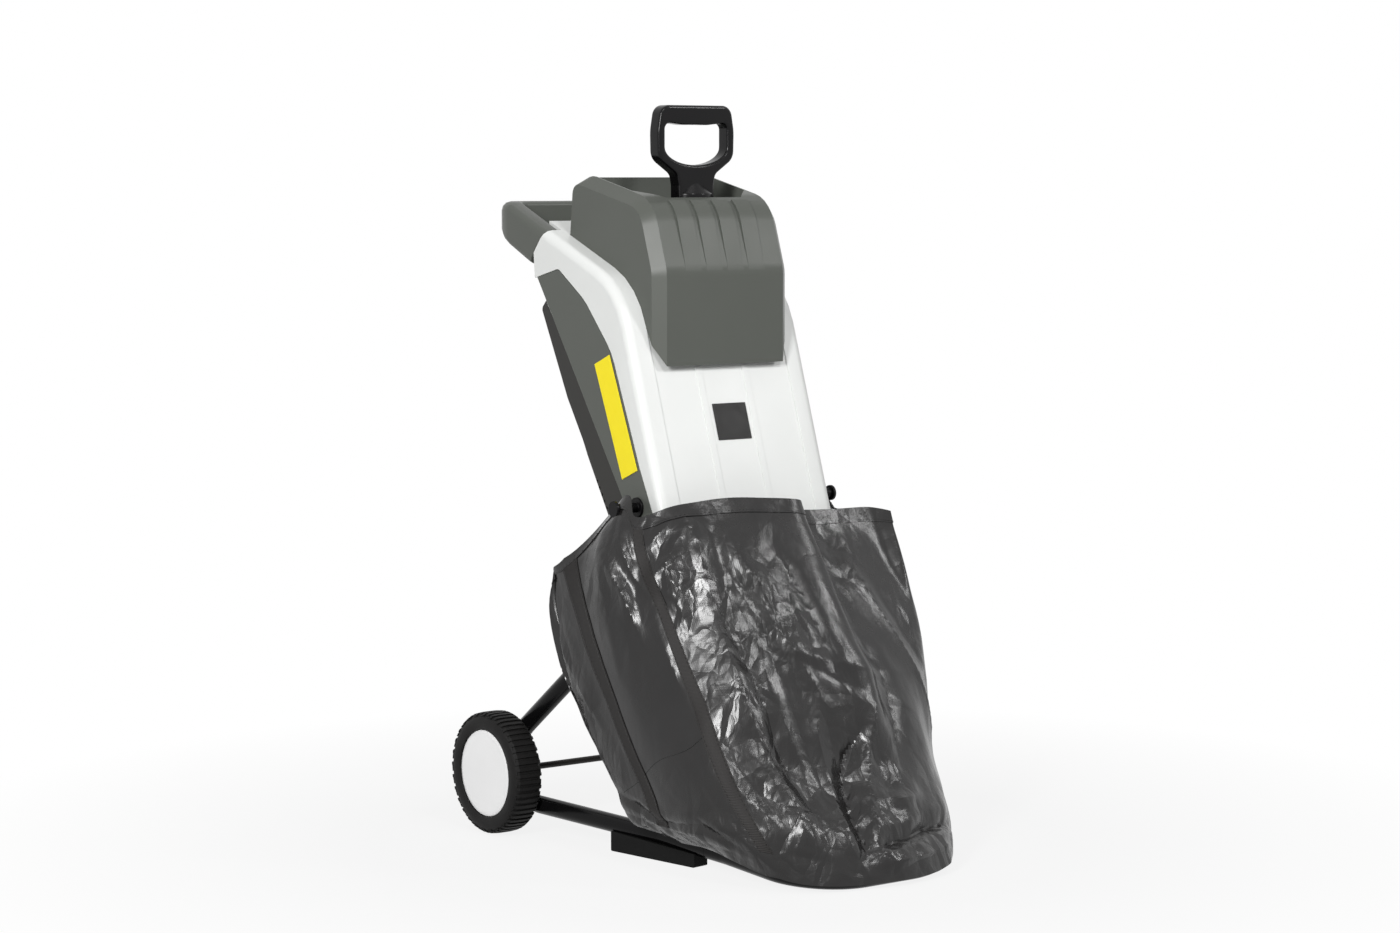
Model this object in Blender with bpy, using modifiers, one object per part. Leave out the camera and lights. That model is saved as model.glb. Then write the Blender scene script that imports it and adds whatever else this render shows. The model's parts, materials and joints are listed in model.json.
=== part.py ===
"""Electric wood chipper: a tower that leans back on a two-wheeled tube frame, with a plunger in the feed
chute, a cutting disc on the motor's shaft and a collection bag hung under the discharge.

Metres, +Z up, +X to the machine's right as seen from the front, which faces -Y. The origin is on the ground
in the middle of the whole object. Side outlines are (y, z) pairs measured from the point on the ground below
the wheel axle. Everything on the disc's spindle is placed as (x, v, u): u runs up along the leaning tower,
v runs backwards, square to it.
"""

from math import atan2, ceil, cos, hypot, pi, radians, sin, tan

import bmesh
import bpy
from mathutils import Euler, Matrix, Vector

# Clearances
GAP = 0.0003                # between two pieces that touch
SHADOW_GAP = 0.0008         # around the side panels
TYRE_TUBE_GAP = 0.0010      # between a frame tube and its wheel

# Overall stance
TRACK = 0.430               # across the outer faces of the wheels
LEAN = radians(18)          # of the tower, backwards
HANDLE_REAR = 0.110         # the transport handle's back, behind the axle
BAR_REACH = 0.526           # the front bar's front, ahead of the axle

# Wheels
WHEEL_R = 0.075
WHEEL_WIDTH = 0.040
TYRE_BORE_R = 0.0537
TREAD_RIBS = 36
TREAD_DEPTH = 0.0022
TYRE_SHOULDER = 0.0035
CAP_THICKNESS = 0.003
CAP_INSET = 0.0022
HUB_RIM_WALL = 0.0045
HUB_WEB = 0.004
HUB_SLEEVE_R = 0.013
AXLE_R = 0.004
RETAINER_R = 0.0085
RETAINER_THICKNESS = 0.002

# Tube frame
TUBE_R = 0.011
SPIGOT_R = 0.0085
SPIGOT_LENGTH = 0.030
BEND_R = 0.051              # of the side tube round the axle
STRUT_SLOPE = 0.872         # rise for each metre forwards
STRUT_AT_AXLE_Z = 0.1146    # height of the strut's line above the axle
LEG_SLOPE = 0.055           # fall for each metre forwards
LEG_AT_AXLE_Z = 0.0405
STRUT_X = 0.1405            # of the strut's upper end, from the middle
LEG_JOINT_Y = -0.330        # where the front bar plugs in
LEG_JOINT_X = 0.1163
LEG_BEND_Y = -0.250
LEG_BEND_X = 0.1235
LEG_BEND_R = 0.080
BAR_CORNER_X = 0.1110
BAR_CORNER_R = 0.078
STRUT_TOP_BEND_Y = -0.165
FOOT_LENGTH = 0.140
FOOT_WIDTH = 0.022
FOOT_WRAP = 0.004           # how far the foot comes up round the tube
FOOT_CORNER_R = 0.005
FOOT_MIDDLE_Y = -0.245
STRUT_BOLT_R = 0.004
STRUT_BOLT_HEAD_R = 0.0075
STRUT_BOLT_HEAD = 0.005
STRUT_BOLT_DEPTH = 0.022
STRUT_CLAMP_Y = -0.1998     # of the bolt that holds the strut to the base plate
STRUT_END = 0.032           # from that bolt to the strut's end

# Tower
BODY_WIDTH = 0.260
WALL = 0.0035
SIDE_WALL = 0.003
FRONT_V = -0.3696           # the white front face
DECK_U = 0.240              # top of the base plate, which carries the tower
TOP_SLOPE = 0.408           # of the white body's upper edge, rising backwards
TOP_AT_Z = 0.7453           # height of that edge above the axle
SHOULDER_R = 0.110          # between the front and the upper edge
BODY_BACK = (0.0120, 0.0064)            # upper and lower y of the wall behind the top
BODY_BACK_Z = 0.6818
REAR_SLOPE = 0.701          # run of the open rear edge for each metre of height
EDGE_R = 0.012              # the rounded rail along the front edges
PANEL_RECESS = 0.0015
PANEL_WIDTH = 0.202
STRIP_X = 0.035
STRIP_WIDTH = 0.009
STRIP_HEIGHT = 0.0009

# Side panels, as (y, z, fillet radius) from the top corner forwards and down
PANEL_FRONT = [(0.0010, 0.6815, 0.0), (-0.0440, 0.6925, 0.010), (-0.0990, 0.6560, 0.060),
               (-0.1540, 0.5960, 0.080), (-0.2100, 0.4620, 0.0)]
PANEL_FOOT_RUN = 0.50       # run of the lowest stretch for each metre of height

# Hopper hood, as (y, z, fillet radius) from the front foot up and back
HOOD_WIDTH = 0.202
HOOD_FRONT_Y = -0.209
HOOD_FOOT_Z = 0.5805
HOOD_KNEE_Z = 0.694
HOOD_BROW = (-0.1815, 0.7775)
HOOD_BACK_TOP = (-0.0360, 0.8110)
HOOD_BACK_FOOT = (-0.0270, 0.7200)
HOOD_LIP = (-0.1858, 0.6240)            # where the lower edge meets the white front
HOOD_KNEE_R = 0.050
HOOD_BROW_R = 0.050
HOOD_BACK_R = 0.025
HOOD_WALL = 0.003
HOOD_CHAMFER = 0.013
RIB_COUNT = 4
RIB_WIDTH = 0.024
RIB_PITCH = 0.0317
RIB_HEIGHT = 0.0025
RIB_ROOT = 0.0015
RIB_FOOT_Z = 0.691

# Hopper mouth and feed chute
MOUTH_HALF = 0.0855
MOUTH_FRONT_HALF = 0.057
MOUTH_FRONT_Y = -0.165
MOUTH_SIDE_Y = -0.135
MOUTH_BACK_Y = -0.050
MOUTH_Z = 0.778
THROAT_Z = 0.725
THROAT_CORNER = 0.0006
CHUTE_WIDTH = 0.076
CHUTE_DEPTH = 0.040
CHUTE_WALL = 0.0025
CHUTE_Y = -0.142            # of the upright part's middle
CHUTE_V = -0.336            # of the leaning part's middle

# Plunger
RAM_CLEARANCE = 0.0004
RAM_FOOT_Z = 0.668
RAM_SHOULDER_Z = 0.7375
RAM_SHOULDER_HALF = 0.0425
PLUNGER_SEAM_Z = 0.7715
GRIP_OUTLINE = [(0.0525, 0.8905, 0.014), (0.0578, 0.8600, 0.060), (0.0568, 0.8340, 0.014),
                (0.0300, 0.8045, 0.012), (0.0265, 0.7940, 0.010)]
GRIP_NECK_HALF = 0.0265
GRIP_HOLE = [(0.0180, 0.8662, 0.030), (0.0470, 0.8700, 0.008), (0.0470, 0.8420, 0.016), (0.0270, 0.8186, 0.012)]
GRIP_DEPTH = 0.020
GRIP_EDGE = 0.0035
GUSSET_R = 0.0215
GUSSET_COLLAR = 0.008
GUSSET_HEIGHT = 0.026       # with its collar
GUSSET_SQUASH = 0.80        # depth for each metre of width

# Transport handle
JOINT_TOP = (-0.0140, 0.7395)
JOINT_FOOT = (0.0207, 0.6977)
HANDLE_ARM = 0.0255
HANDLE_GRIP = 0.028
HANDLE_TOP_Z = 0.774
HANDLE_LOW_SLOPE = 0.484    # of the handle's underside, rising backwards
HANDLE_LOW_Y = 0.100        # where the underside becomes level
HANDLE_CORNER_R = 0.045
HANDLE_TURN_STEPS = 5
HANDLE_TOP_R = 0.0115       # along the outer upper edge
HANDLE_INNER_EDGE = 0.006
HANDLE_FOOT_EDGE = 0.008

# Black covers
COVER_HALF = 0.105
COVER_WALL = 0.003
COVER_TOP_Z = 0.672
COVER_PEAK = (0.0280, 0.6420)
COVER_WAIST = (-0.0270, 0.5340)
COVER_SEAM_SLOPE = 0.652
COVER_FLANGE = 0.004
MOTOR_COVER_HALF = 0.100
MOTOR_COVER_KNEE = (-0.0590, 0.4650)
MOTOR_COVER_LOW = (-0.1090, 0.3840)
MOTOR_COVER_V = -0.195
VENT_COUNT = 6
VENT_LENGTH = 0.0085
VENT_WIDTH = 0.0032
VENT_PITCH = 0.0078
VENT_START_Z = 0.436
VENT_SLANT = radians(41)
VENT_BEHIND_SEAM = 0.0075
MOTOR_LINTEL = 0.055        # of the rear cover left above the motor cover's window
MOTOR_WINDOW_SIDE = 0.010
MOTOR_SEAM_BACK = 0.012

# Spindle, motor and disc, all about the line v = SPINDLE_V
SPINDLE_V = -0.270
DECK_THICKNESS = 0.004
DISC_R = 0.090
DISC_THICKNESS = 0.006
DISC_ROOM = 0.015           # between the disc and the base plate
CHIP_ROOM = 0.018           # between the disc and the housing's underside
HOUSING_R = 0.095
HOUSING_WALL = 0.0035
HOUSING_FLOOR = 0.003
BLADE_LENGTH = 0.054
BLADE_WIDTH = 0.026
BLADE_THICKNESS = 0.004
BLADE_R = 0.058
BLADE_SLOT = 0.012
BLADE_SCREW_R = 0.0025
BLADE_SCREW_HEAD_R = 0.0045
BLADE_SCREW_HEAD = 0.0025
BLADE_SCREW_PITCH = 0.026
SHAFT_R = 0.006
JOURNAL_R = 0.005
JOURNAL_RISE = 0.1125       # each rise is measured from the base plate's top
SHAFT_RISE = 0.1245
BORE_GAP = 0.0003
DISC_HUB_R = 0.020
HUB_ROOM = 0.0035
DISC_BOLT_R = 0.004
DISC_BOLT_HEAD_R = 0.0075
DISC_BOLT_HEAD = 0.0055
DISC_WASHER_R = 0.014
DISC_WASHER = 0.003
MOTOR_R = 0.042
MOTOR_WALL = 0.003
STATOR_RISE = 0.035
STATOR_HEIGHT = 0.050
STATOR_BORE_R = 0.0265
AIR_GAP = 0.0005
WINDING_R = 0.0375
WINDING_BORE_R = 0.028
WINDING_HEIGHT = 0.0077
COIL_WIDTH = 0.012          # of a coil's side where it runs through the stator
COIL_DEPTH = 0.006
FAN_RISE = 0.0125
FAN_R = 0.036
FAN_HEIGHT = 0.0115
FAN_BLADES = 8
FAN_SHEET = 0.002
COMMUTATOR_R = 0.014
COMMUTATOR_RISE = 0.0975
COMMUTATOR_HEIGHT = 0.0125
MOTOR_RISE = 0.126
BRUSH_SIZE = 0.006
BRUSH_LENGTH = 0.018
BRUSH_HOLDER = 0.0095
BEARING_R = 0.016
BEARING_HEIGHT = 0.009
TOP_BEARING_R = 0.011
TOP_BEARING_HEIGHT = 0.007
BOSS_WALL = 0.005
LUG_LENGTH = 0.064
LUG_DROP = 0.041            # from the base plate's top to the foot of its side lugs

# Controls
SWITCH_SIZE = (0.058, 0.072, 0.016)
SWITCH_DOWN = 0.046         # from the peak of the rear cover, along its face
ROCKER_SIZE = (0.020, 0.028, 0.010)
ROCKER_TURN = 12.0          # degrees from level to either of its two places
ROCKER_WELL = 0.012
RESET_R = 0.006
RESET_STROKE = 0.003
RESET_Y = 0.026
INLET_R = 0.021
INLET_LENGTH = 0.030
INLET_WALL = 0.0025
PIN_R = 0.002
PIN_SPACING = 0.008
KNOB_R = 0.019
KNOB_HEIGHT = 0.018
KNOB_LOBES = 6
KNOB_DOWN = 0.030           # from the waist of the covers, along the motor cover
LOCK_BOLT_R = 0.004
LOCK_BOLT_LENGTH = 0.030
SAFETY_SWITCH = (0.020, 0.012, 0.011)

# Bag and its hooks
HOOK_Y = -0.2075
HOOK_Z = 0.4150
HOOK_STEM_R = 0.006
HOOK_OUT = 0.167
HOOK_HEAD_R = 0.0095
HOOK_HEAD = 0.004
HOOK_BASE_R = 0.012
HOOK_BASE = 0.003
BAG_SHEET = 0.002
BAG_STEPS = 2               # stretches between two of a level's own points

# The bag's levels from the rim down, each from the middle of its back round by its right side
BAG_LEVELS = [
    [(0, -.167, .195), (.09, -.167, .195), (.162, -.163, .206), (.190, -.117, .334), (.190, -.140, .352),
     (.146, -.2075, .4285), (.172, -.237, .405), (.190, -.290, .397), (.165, -.280, .403), (.110, -.278, .404),
     (.046, -.280, .408), (.030, -.3145, .4226), (-.020, -.303, .427), (-.070, -.289, .428), (-.125, -.268, .420),
     (-.156, -.240, .4074), (-.148, -.2075, .4285), (-.190, -.140, .352), (-.190, -.117, .334),
     (-.162, -.163, .206), (-.09, -.167, .195)],
    [(0, -.172, .182), (.09, -.172, .182), (.168, -.166, .190), (.191, -.113, .290), (.191, -.160, .315),
     (.183, -.215, .360), (.190, -.262, .350), (.194, -.309, .345), (.170, -.305, .340), (.115, -.312, .345),
     (.051, -.315, .350), (.034, -.345, .362), (-.022, -.335, .365), (-.082, -.322, .365), (-.140, -.292, .365),
     (-.170, -.262, .355), (-.182, -.225, .365), (-.191, -.160, .315), (-.192, -.112, .290),
     (-.168, -.166, .190), (-.09, -.172, .182)],
    [(0, -.180, .165), (.09, -.180, .165), (.170, -.172, .172), (.190, -.133, .235), (.191, -.185, .265),
     (.190, -.240, .290), (.193, -.284, .285), (.195, -.326, .285), (.176, -.338, .280), (.120, -.345, .285),
     (.058, -.352, .292), (.036, -.378, .300), (-.025, -.365, .305), (-.088, -.350, .305), (-.146, -.318, .305),
     (-.174, -.290, .302), (-.189, -.250, .300), (-.192, -.184, .270), (-.192, -.128, .235),
     (-.170, -.172, .172), (-.09, -.180, .165)],
    [(0, -.197, .138), (.09, -.197, .138), (.170, -.190, .142), (.190, -.180, .165), (.190, -.228, .188),
     (.190, -.270, .190), (.191, -.310, .190), (.190, -.354, .190), (.174, -.374, .190), (.125, -.401, .195),
     (.070, -.415, .200), (.040, -.430, .205), (-.030, -.418, .210), (-.095, -.402, .210), (-.150, -.374, .205),
     (-.175, -.340, .200), (-.190, -.285, .202), (-.191, -.228, .190), (-.191, -.178, .165),
     (-.170, -.190, .142), (-.09, -.197, .138)],
    [(0, -.238, .088), (.09, -.238, .088), (.162, -.237, .088), (.181, -.237, .092), (.185, -.278, .104),
     (.186, -.310, .105), (.186, -.348, .105), (.183, -.382, .105), (.170, -.401, .105), (.125, -.446, .105),
     (.075, -.470, .105), (.040, -.478, .105), (-.030, -.470, .105), (-.092, -.458, .105), (-.148, -.436, .105),
     (-.174, -.400, .105), (-.187, -.345, .108), (-.187, -.290, .100), (-.182, -.237, .092),
     (-.162, -.237, .088), (-.09, -.238, .088)],
    [(0, -.258, .052), (.088, -.258, .052), (.152, -.256, .052), (.171, -.257, .052), (.173, -.303, .052),
     (.174, -.335, .050), (.174, -.375, .050), (.170, -.414, .048), (.158, -.442, .045), (.115, -.482, .043),
     (.070, -.496, .042), (.035, -.503, .042), (-.025, -.503, .043), (-.080, -.496, .044), (-.135, -.474, .047),
     (-.160, -.442, .050), (-.176, -.380, .050), (-.175, -.318, .051), (-.172, -.257, .052),
     (-.152, -.256, .052), (-.088, -.258, .052)],
    [(0, -.285, .0415), (.080, -.285, .0415), (.135, -.278, .0415), (.150, -.275, .0415), (.154, -.310, .039),
     (.157, -.335, .037), (.158, -.370, .034), (.158, -.415, .0315), (.150, -.452, .0295), (.110, -.478, .0285),
     (.065, -.494, .0275), (.030, -.499, .0275), (-.025, -.499, .0275), (-.075, -.492, .028), (-.122, -.470, .029),
     (-.147, -.438, .0305), (-.157, -.385, .034), (-.155, -.325, .038), (-.150, -.275, .0415),
     (-.135, -.278, .0415), (-.080, -.285, .0415)],
]

# Plain plates
PLATE_SIZE = (0.050, 0.045)
PLATE_THICKNESS = 0.0008
PLATE_U = 0.4188
STRIP_LABEL_LENGTH = 0.146
STRIP_LABEL_WIDTH = 0.033
STRIP_LABEL_MIDDLE = (-0.1640, 0.5195)
STRIP_LABEL_LEAN = radians(22.6)

# Facets
ROUND = 32
SMALL_ROUND = 20
TINY_ROUND = 12

# Worked out from the sizes above
AXLE_Y = (BAR_REACH - HANDLE_REAR) / 2
BODY_HALF = BODY_WIDTH / 2
HOOD_HALF = HOOD_WIDTH / 2
WHEEL_OUT = TRACK / 2
WHEEL_IN = WHEEL_OUT - WHEEL_WIDTH
AXLE_TUBE_X = WHEEL_IN - TYRE_TUBE_GAP - TUBE_R
BAR_Y = -BAR_REACH + TUBE_R
SHELL_FOOT_U = DECK_U + GAP
MOTOR_FOOT_U = DECK_U + GAP
DISC_U = DECK_U - DECK_THICKNESS - DISC_ROOM - DISC_THICKNESS
HOUSING_FOOT_U = DISC_U - CHIP_ROOM
LUG_FOOT_U = DECK_U - LUG_DROP
DISC_HUB_HEIGHT = DISC_ROOM - HUB_ROOM
FAN_U = DECK_U + FAN_RISE
STATOR_U = DECK_U + STATOR_RISE
STATOR_TOP_U = STATOR_U + STATOR_HEIGHT
COMMUTATOR_U = DECK_U + COMMUTATOR_RISE
JOURNAL_U = DECK_U + JOURNAL_RISE
SHAFT_TOP_U = DECK_U + SHAFT_RISE
MOTOR_TOP_U = DECK_U + MOTOR_RISE


def side(v, u):
    """A point of the tower, (v, u), as a side outline's (y, z)."""
    return v * cos(LEAN) + u * sin(LEAN), u * cos(LEAN) - v * sin(LEAN)


def along_tower(y, z):
    """How far up the tower, u, a side outline's point lies."""
    return y * sin(LEAN) + z * cos(LEAN)


def meet(p, run_p, q, run_q):
    """Where the line through p with y = p.y + run * (z - p.z) crosses the one through q."""
    z = (q[0] - p[0] + run_p * p[1] - run_q * q[1]) / (run_p - run_q)
    return p[0] + run_p * (z - p[1]), z


def leg_z(y):
    """Height of the lower leg's middle line."""
    return LEG_AT_AXLE_Z + LEG_SLOPE * y


def strut_z(y):
    """Height of the strut's middle line."""
    return STRUT_AT_AXLE_Z - STRUT_SLOPE * y


def rear_y(z):
    """The white body's open rear edge."""
    return BODY_BACK[1] - REAR_SLOPE * (BODY_BACK_Z - z)


def seam_y(z):
    """The back of the rear cover below its waist, where the motor cover starts."""
    return COVER_WAIST[0] - COVER_SEAM_SLOPE * (COVER_WAIST[1] - z)


def on_deck(run, point):
    """Where a line of the side view reaches the base plate's top."""
    deck = side(0, SHELL_FOOT_U)
    return meet(point, run, deck, -1 / tan(LEAN))


# Outlines

def fillet(corners, step=radians(14)):
    """Closed outline of (a, b, radius) corners as plain points, with each corner's arc."""
    points = []
    for i, (a, b, radius) in enumerate(corners):
        here = Vector((a, b))
        back = Vector(corners[i - 1][:2]) - here
        ahead = Vector(corners[(i + 1) % len(corners)][:2]) - here
        turn = pi - back.angle(ahead)
        reach = radius * tan(turn / 2)
        if radius <= 0 or turn < radians(1):
            points.append((a, b))
            continue
        first = here + back.normalized() * reach
        last = here + ahead.normalized() * reach
        centre = here + (back.normalized() + ahead.normalized()).normalized() * radius / cos(turn / 2)
        start = atan2(first.y - centre.y, first.x - centre.x)
        sweep = atan2(last.y - centre.y, last.x - centre.x) - start
        sweep = (sweep + pi) % (2 * pi) - pi
        count = max(1, ceil(abs(sweep) / step))
        for k in range(count + 1):
            angle = start + sweep * k / count
            points.append((centre.x + radius * cos(angle), centre.y + radius * sin(angle)))
    return points


def inset(corners, walls):
    """The outline moved inwards by walls[i] along its edge i, which runs from corner i to the next."""
    count = len(corners)
    area = sum(corners[i][0] * corners[(i + 1) % count][1] - corners[(i + 1) % count][0] * corners[i][1]
               for i in range(count))
    inward = 1 if area > 0 else -1
    lines = []
    for i in range(count):
        p = Vector(corners[i][:2])
        along = (Vector(corners[(i + 1) % count][:2]) - p).normalized()
        lines.append((p + Vector((-along.y, along.x)) * inward * walls[i], along))
    moved = []
    for i, corner in enumerate(corners):
        (p, along), (q, ahead) = lines[i - 1], lines[i]
        slant = along.x * ahead.y - along.y * ahead.x
        t = ((q.x - p.x) * ahead.y - (q.y - p.y) * ahead.x) / slant
        point = p + along * t
        radius = max(0.0, corner[2] - max(walls[i - 1], walls[i])) if corner[2] else 0.0
        moved.append((point.x, point.y, radius))
    return moved


def ribbon(path, left, right):
    """Closed outline that runs beside an open path, left and right of it."""
    sides = ([], [])
    for i, point in enumerate(path):
        here = Vector(point)
        before = (here - Vector(path[i - 1])).normalized() if i else None
        after = (Vector(path[i + 1]) - here).normalized() if i + 1 < len(path) else None
        along = ((before or after) + (after or before)).normalized()
        square = Vector((-along.y, along.x))
        stretch = 1 / max(0.2, along.dot(before or after))
        sides[0].append(tuple(here + square * left * stretch))
        sides[1].append(tuple(here - square * right * stretch))
    return sides[0] + sides[1][::-1]


def mirrored(half):
    """Closed outline from its right half, whose points run from the top down, with (a, b, radius) corners."""
    return half + [(-a, b, r) for a, b, r in reversed(half)]


# Scene and materials

def clear_scene():
    for old in list(bpy.data.objects):
        bpy.data.objects.remove(old)


def new_collection(name):
    group = bpy.data.collections.new(name)
    bpy.context.scene.collection.children.link(group)
    return group


clear_scene()
PARTS = new_collection("electric_wood_chipper")
CUTTERS = new_collection("cutters")


def material(name, colour, roughness, metallic=0.0):
    made = bpy.data.materials.new(name)
    made.use_nodes = True
    shader = made.node_tree.nodes["Principled BSDF"]
    shader.inputs["Base Color"].default_value = (*colour, 1)
    shader.inputs["Roughness"].default_value = roughness
    shader.inputs["Metallic"].default_value = metallic
    return made


def datum(name, place, parent=None):
    """An empty that carries a group of pieces."""
    empty = bpy.data.objects.new(name, None)
    empty.matrix_basis = place
    empty.parent = parent
    PARTS.objects.link(empty)
    return empty


def face_frame(y, z, along_y, along_z):
    """Place on a side outline's edge that runs downwards: local y along the edge, local z outwards."""
    turn = atan2(along_z, along_y)
    return Matrix.Translation((0, y, z)) @ Matrix.Rotation(turn, 4, "X")


AXLE = datum("axle_datum", Matrix.Translation((0, AXLE_Y, 0)))
TOWER = datum("tower_datum", Matrix.Rotation(-LEAN, 4, "X"), AXLE)
SPINDLE = datum("spindle_datum", Matrix.Translation((0, SPINDLE_V, 0)), TOWER)
WHEEL_LEFT = datum("wheel_left_datum", Matrix.Translation((0, 0, WHEEL_R)), AXLE)
WHEEL_RIGHT = datum("wheel_right_datum", Matrix.Translation((0, 0, WHEEL_R)), AXLE)
PLUNGER = datum("plunger_datum", Matrix.Translation((0, CHUTE_Y, 0)), AXLE)

COVER_FACE = Vector((COVER_WAIST[0] - COVER_PEAK[0], COVER_WAIST[1] - COVER_PEAK[1])).normalized()
SWITCH_POINT = (COVER_PEAK[0] + COVER_FACE.x * SWITCH_DOWN, COVER_PEAK[1] + COVER_FACE.y * SWITCH_DOWN)
SWITCH = datum("switch_datum", face_frame(*SWITCH_POINT, *COVER_FACE), AXLE)
MOTOR_FACE = Vector((MOTOR_COVER_KNEE[0] - COVER_WAIST[0], MOTOR_COVER_KNEE[1] - COVER_WAIST[1])).normalized()
KNOB_POINT = (COVER_WAIST[0] + MOTOR_FACE.x * KNOB_DOWN, COVER_WAIST[1] + MOTOR_FACE.y * KNOB_DOWN)
KNOB = datum("knob_datum", face_frame(*KNOB_POINT, *MOTOR_FACE), AXLE)
SEAM = datum("seam_datum", face_frame(seam_y(KNOB_POINT[1]), KNOB_POINT[1], -COVER_SEAM_SLOPE, -1), AXLE)

WHITE = material("white_plastic", (0.86, 0.87, 0.86), 0.35)
GREY = material("grey_plastic", (0.105, 0.115, 0.100), 0.45)
BLACK = material("black_plastic", (0.012, 0.012, 0.012), 0.40)
BLACK_PAINT = material("black_paint", (0.008, 0.008, 0.009), 0.22, 0.2)
TYRE = material("tyre_black", (0.011, 0.011, 0.011), 0.60)
CAP_WHITE = material("cap_white", (0.88, 0.88, 0.88), 0.35)
BAG_BLACK = material("bag_black", (0.016, 0.015, 0.016), 0.30)
STEEL = material("steel", (0.55, 0.56, 0.58), 0.35, 1.0)
BLADE_STEEL = material("blade_steel", (0.62, 0.63, 0.65), 0.25, 1.0)
CAST = material("cast_aluminium", (0.50, 0.51, 0.52), 0.50, 1.0)
COPPER = material("copper_winding", (0.60, 0.25, 0.12), 0.40, 1.0)
IRON = material("iron_laminations", (0.20, 0.20, 0.21), 0.50, 0.8)
CARBON = material("carbon", (0.03, 0.03, 0.03), 0.70)
RUBBER = material("foot_rubber", (0.015, 0.015, 0.015), 0.70)
RED = material("red_button", (0.55, 0.02, 0.02), 0.35)
GREEN = material("green_rocker", (0.02, 0.30, 0.05), 0.35)
YELLOW = material("yellow_label", (0.90, 0.75, 0.05), 0.40)
PLATE_BLACK = material("plate_black", (0.015, 0.015, 0.015), 0.30)

# Ways of making a piece

SIDE_VIEW = Matrix(((0, 0, 1, 0), (1, 0, 0, 0), (0, 1, 0, 0), (0, 0, 0, 1)))
FRONT_VIEW = Matrix(((1, 0, 0, 0), (0, 0, -1, 0), (0, 1, 0, 0), (0, 0, 0, 1)))
TOP_VIEW = Matrix.Identity(4)
ALONG_X = Matrix.Rotation(pi / 2, 4, "Y")
CLAMP_PLACE = Matrix.Translation((0, STRUT_CLAMP_Y, strut_z(STRUT_CLAMP_Y)))


def piece(name, mesh, finish, parent, place):
    """An object with its material; with no material it is a cutter."""
    made = bpy.data.objects.new(name, mesh)
    made.parent = parent
    made.matrix_basis = place
    if finish:
        mesh.materials.append(finish)
        PARTS.objects.link(made)
    else:
        made.hide_render = True
        made.display_type = "WIRE"
        CUTTERS.objects.link(made)
    return made


def modify(target, other, operation="DIFFERENCE"):
    step = target.modifiers.new(other.name, "BOOLEAN")
    step.operation = operation
    step.object = other
    step.solver = "EXACT"
    return target


def smooth(made, angle=radians(30)):
    made.data.shade_smooth()
    made.data.set_sharp_from_angle(angle=angle)
    return made


def curve_mesh(curve, name, flat_ends=False):
    """The curve's filled solid as a closed mesh; flat ends become single faces."""
    guide = bpy.data.objects.new(name, curve)
    bpy.context.scene.collection.objects.link(guide)
    bpy.context.view_layer.update()
    solid = bpy.data.meshes.new_from_object(guide.evaluated_get(bpy.context.evaluated_depsgraph_get()))
    bpy.data.objects.remove(guide)
    shape = bmesh.new()
    shape.from_mesh(solid)
    bmesh.ops.remove_doubles(shape, verts=shape.verts, dist=1e-6)
    if flat_ends:
        bmesh.ops.dissolve_limit(shape, angle_limit=radians(0.2), verts=[], edges=shape.edges)
    bmesh.ops.recalc_face_normals(shape, faces=shape.faces)
    shape.to_mesh(solid)
    shape.free()
    solid.name = name
    return solid


def plate(name, outlines, low, high, finish, parent=AXLE, view=SIDE_VIEW):
    """Flat outlines, the first one outside and the rest holes, drawn in a view and extruded from low to high."""
    curve = bpy.data.curves.new(name, "CURVE")
    curve.dimensions = "2D"
    curve.fill_mode = "BOTH"
    curve.extrude = (high - low) / 2
    for outline in outlines:
        spline = curve.splines.new("POLY")
        spline.points.add(len(outline) - 1)
        for point, (a, b) in zip(spline.points, outline):
            point.co = (a, b, 0, 1)
        spline.use_cyclic_u = True
    mesh = curve_mesh(curve, name, flat_ends=True)
    return piece(name, mesh, finish, parent, view @ Matrix.Translation((0, 0, (low + high) / 2)))


def across(name, outline, half, finish, parent=AXLE):
    """A side outline extruded to both sides of the middle plane."""
    return plate(name, [outline], -half, half, finish, parent)


def block(name, size, centre, finish, parent=AXLE, turn=Matrix.Identity(4)):
    shape = bmesh.new()
    bmesh.ops.create_cube(shape, size=1, matrix=Matrix.Diagonal((*size, 1)))
    mesh = bpy.data.meshes.new(name)
    shape.to_mesh(mesh)
    shape.free()
    return piece(name, mesh, finish, parent, Matrix.Translation(centre) @ turn)


def cylinder(name, radius, low, high, finish, parent, place=Matrix.Identity(4), facets=SMALL_ROUND):
    """A cylinder along local z, from low to high."""
    shape = bmesh.new()
    middle = Matrix.Translation((0, 0, (low + high) / 2))
    bmesh.ops.create_cone(shape, cap_ends=True, segments=facets, radius1=radius, radius2=radius,
                          depth=high - low, matrix=middle)
    mesh = bpy.data.meshes.new(name)
    shape.to_mesh(mesh)
    shape.free()
    return smooth(piece(name, mesh, finish, parent, place))


def turned(name, profile, finish, parent, place=Matrix.Identity(4), facets=ROUND):
    """A profile of (radius, height) points, top to bottom on its outer side, turned about local z."""
    mesh = bpy.data.meshes.new(name)
    points = [(r, 0, h) for r, h in profile]
    pairs = [(i, (i + 1) % len(points)) for i in range(len(points))]
    links = [(i, j) for i, j in pairs if profile[i][0] > 0 or profile[j][0] > 0]
    mesh.from_pydata(points, links, [])
    made = piece(name, mesh, finish, parent, place)
    screw = made.modifiers.new("turn", "SCREW")
    screw.steps = facets
    screw.render_steps = facets
    screw.use_merge_vertices = True
    screw.merge_threshold = 1e-5
    screw.use_smooth_shade = False
    return made


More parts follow.
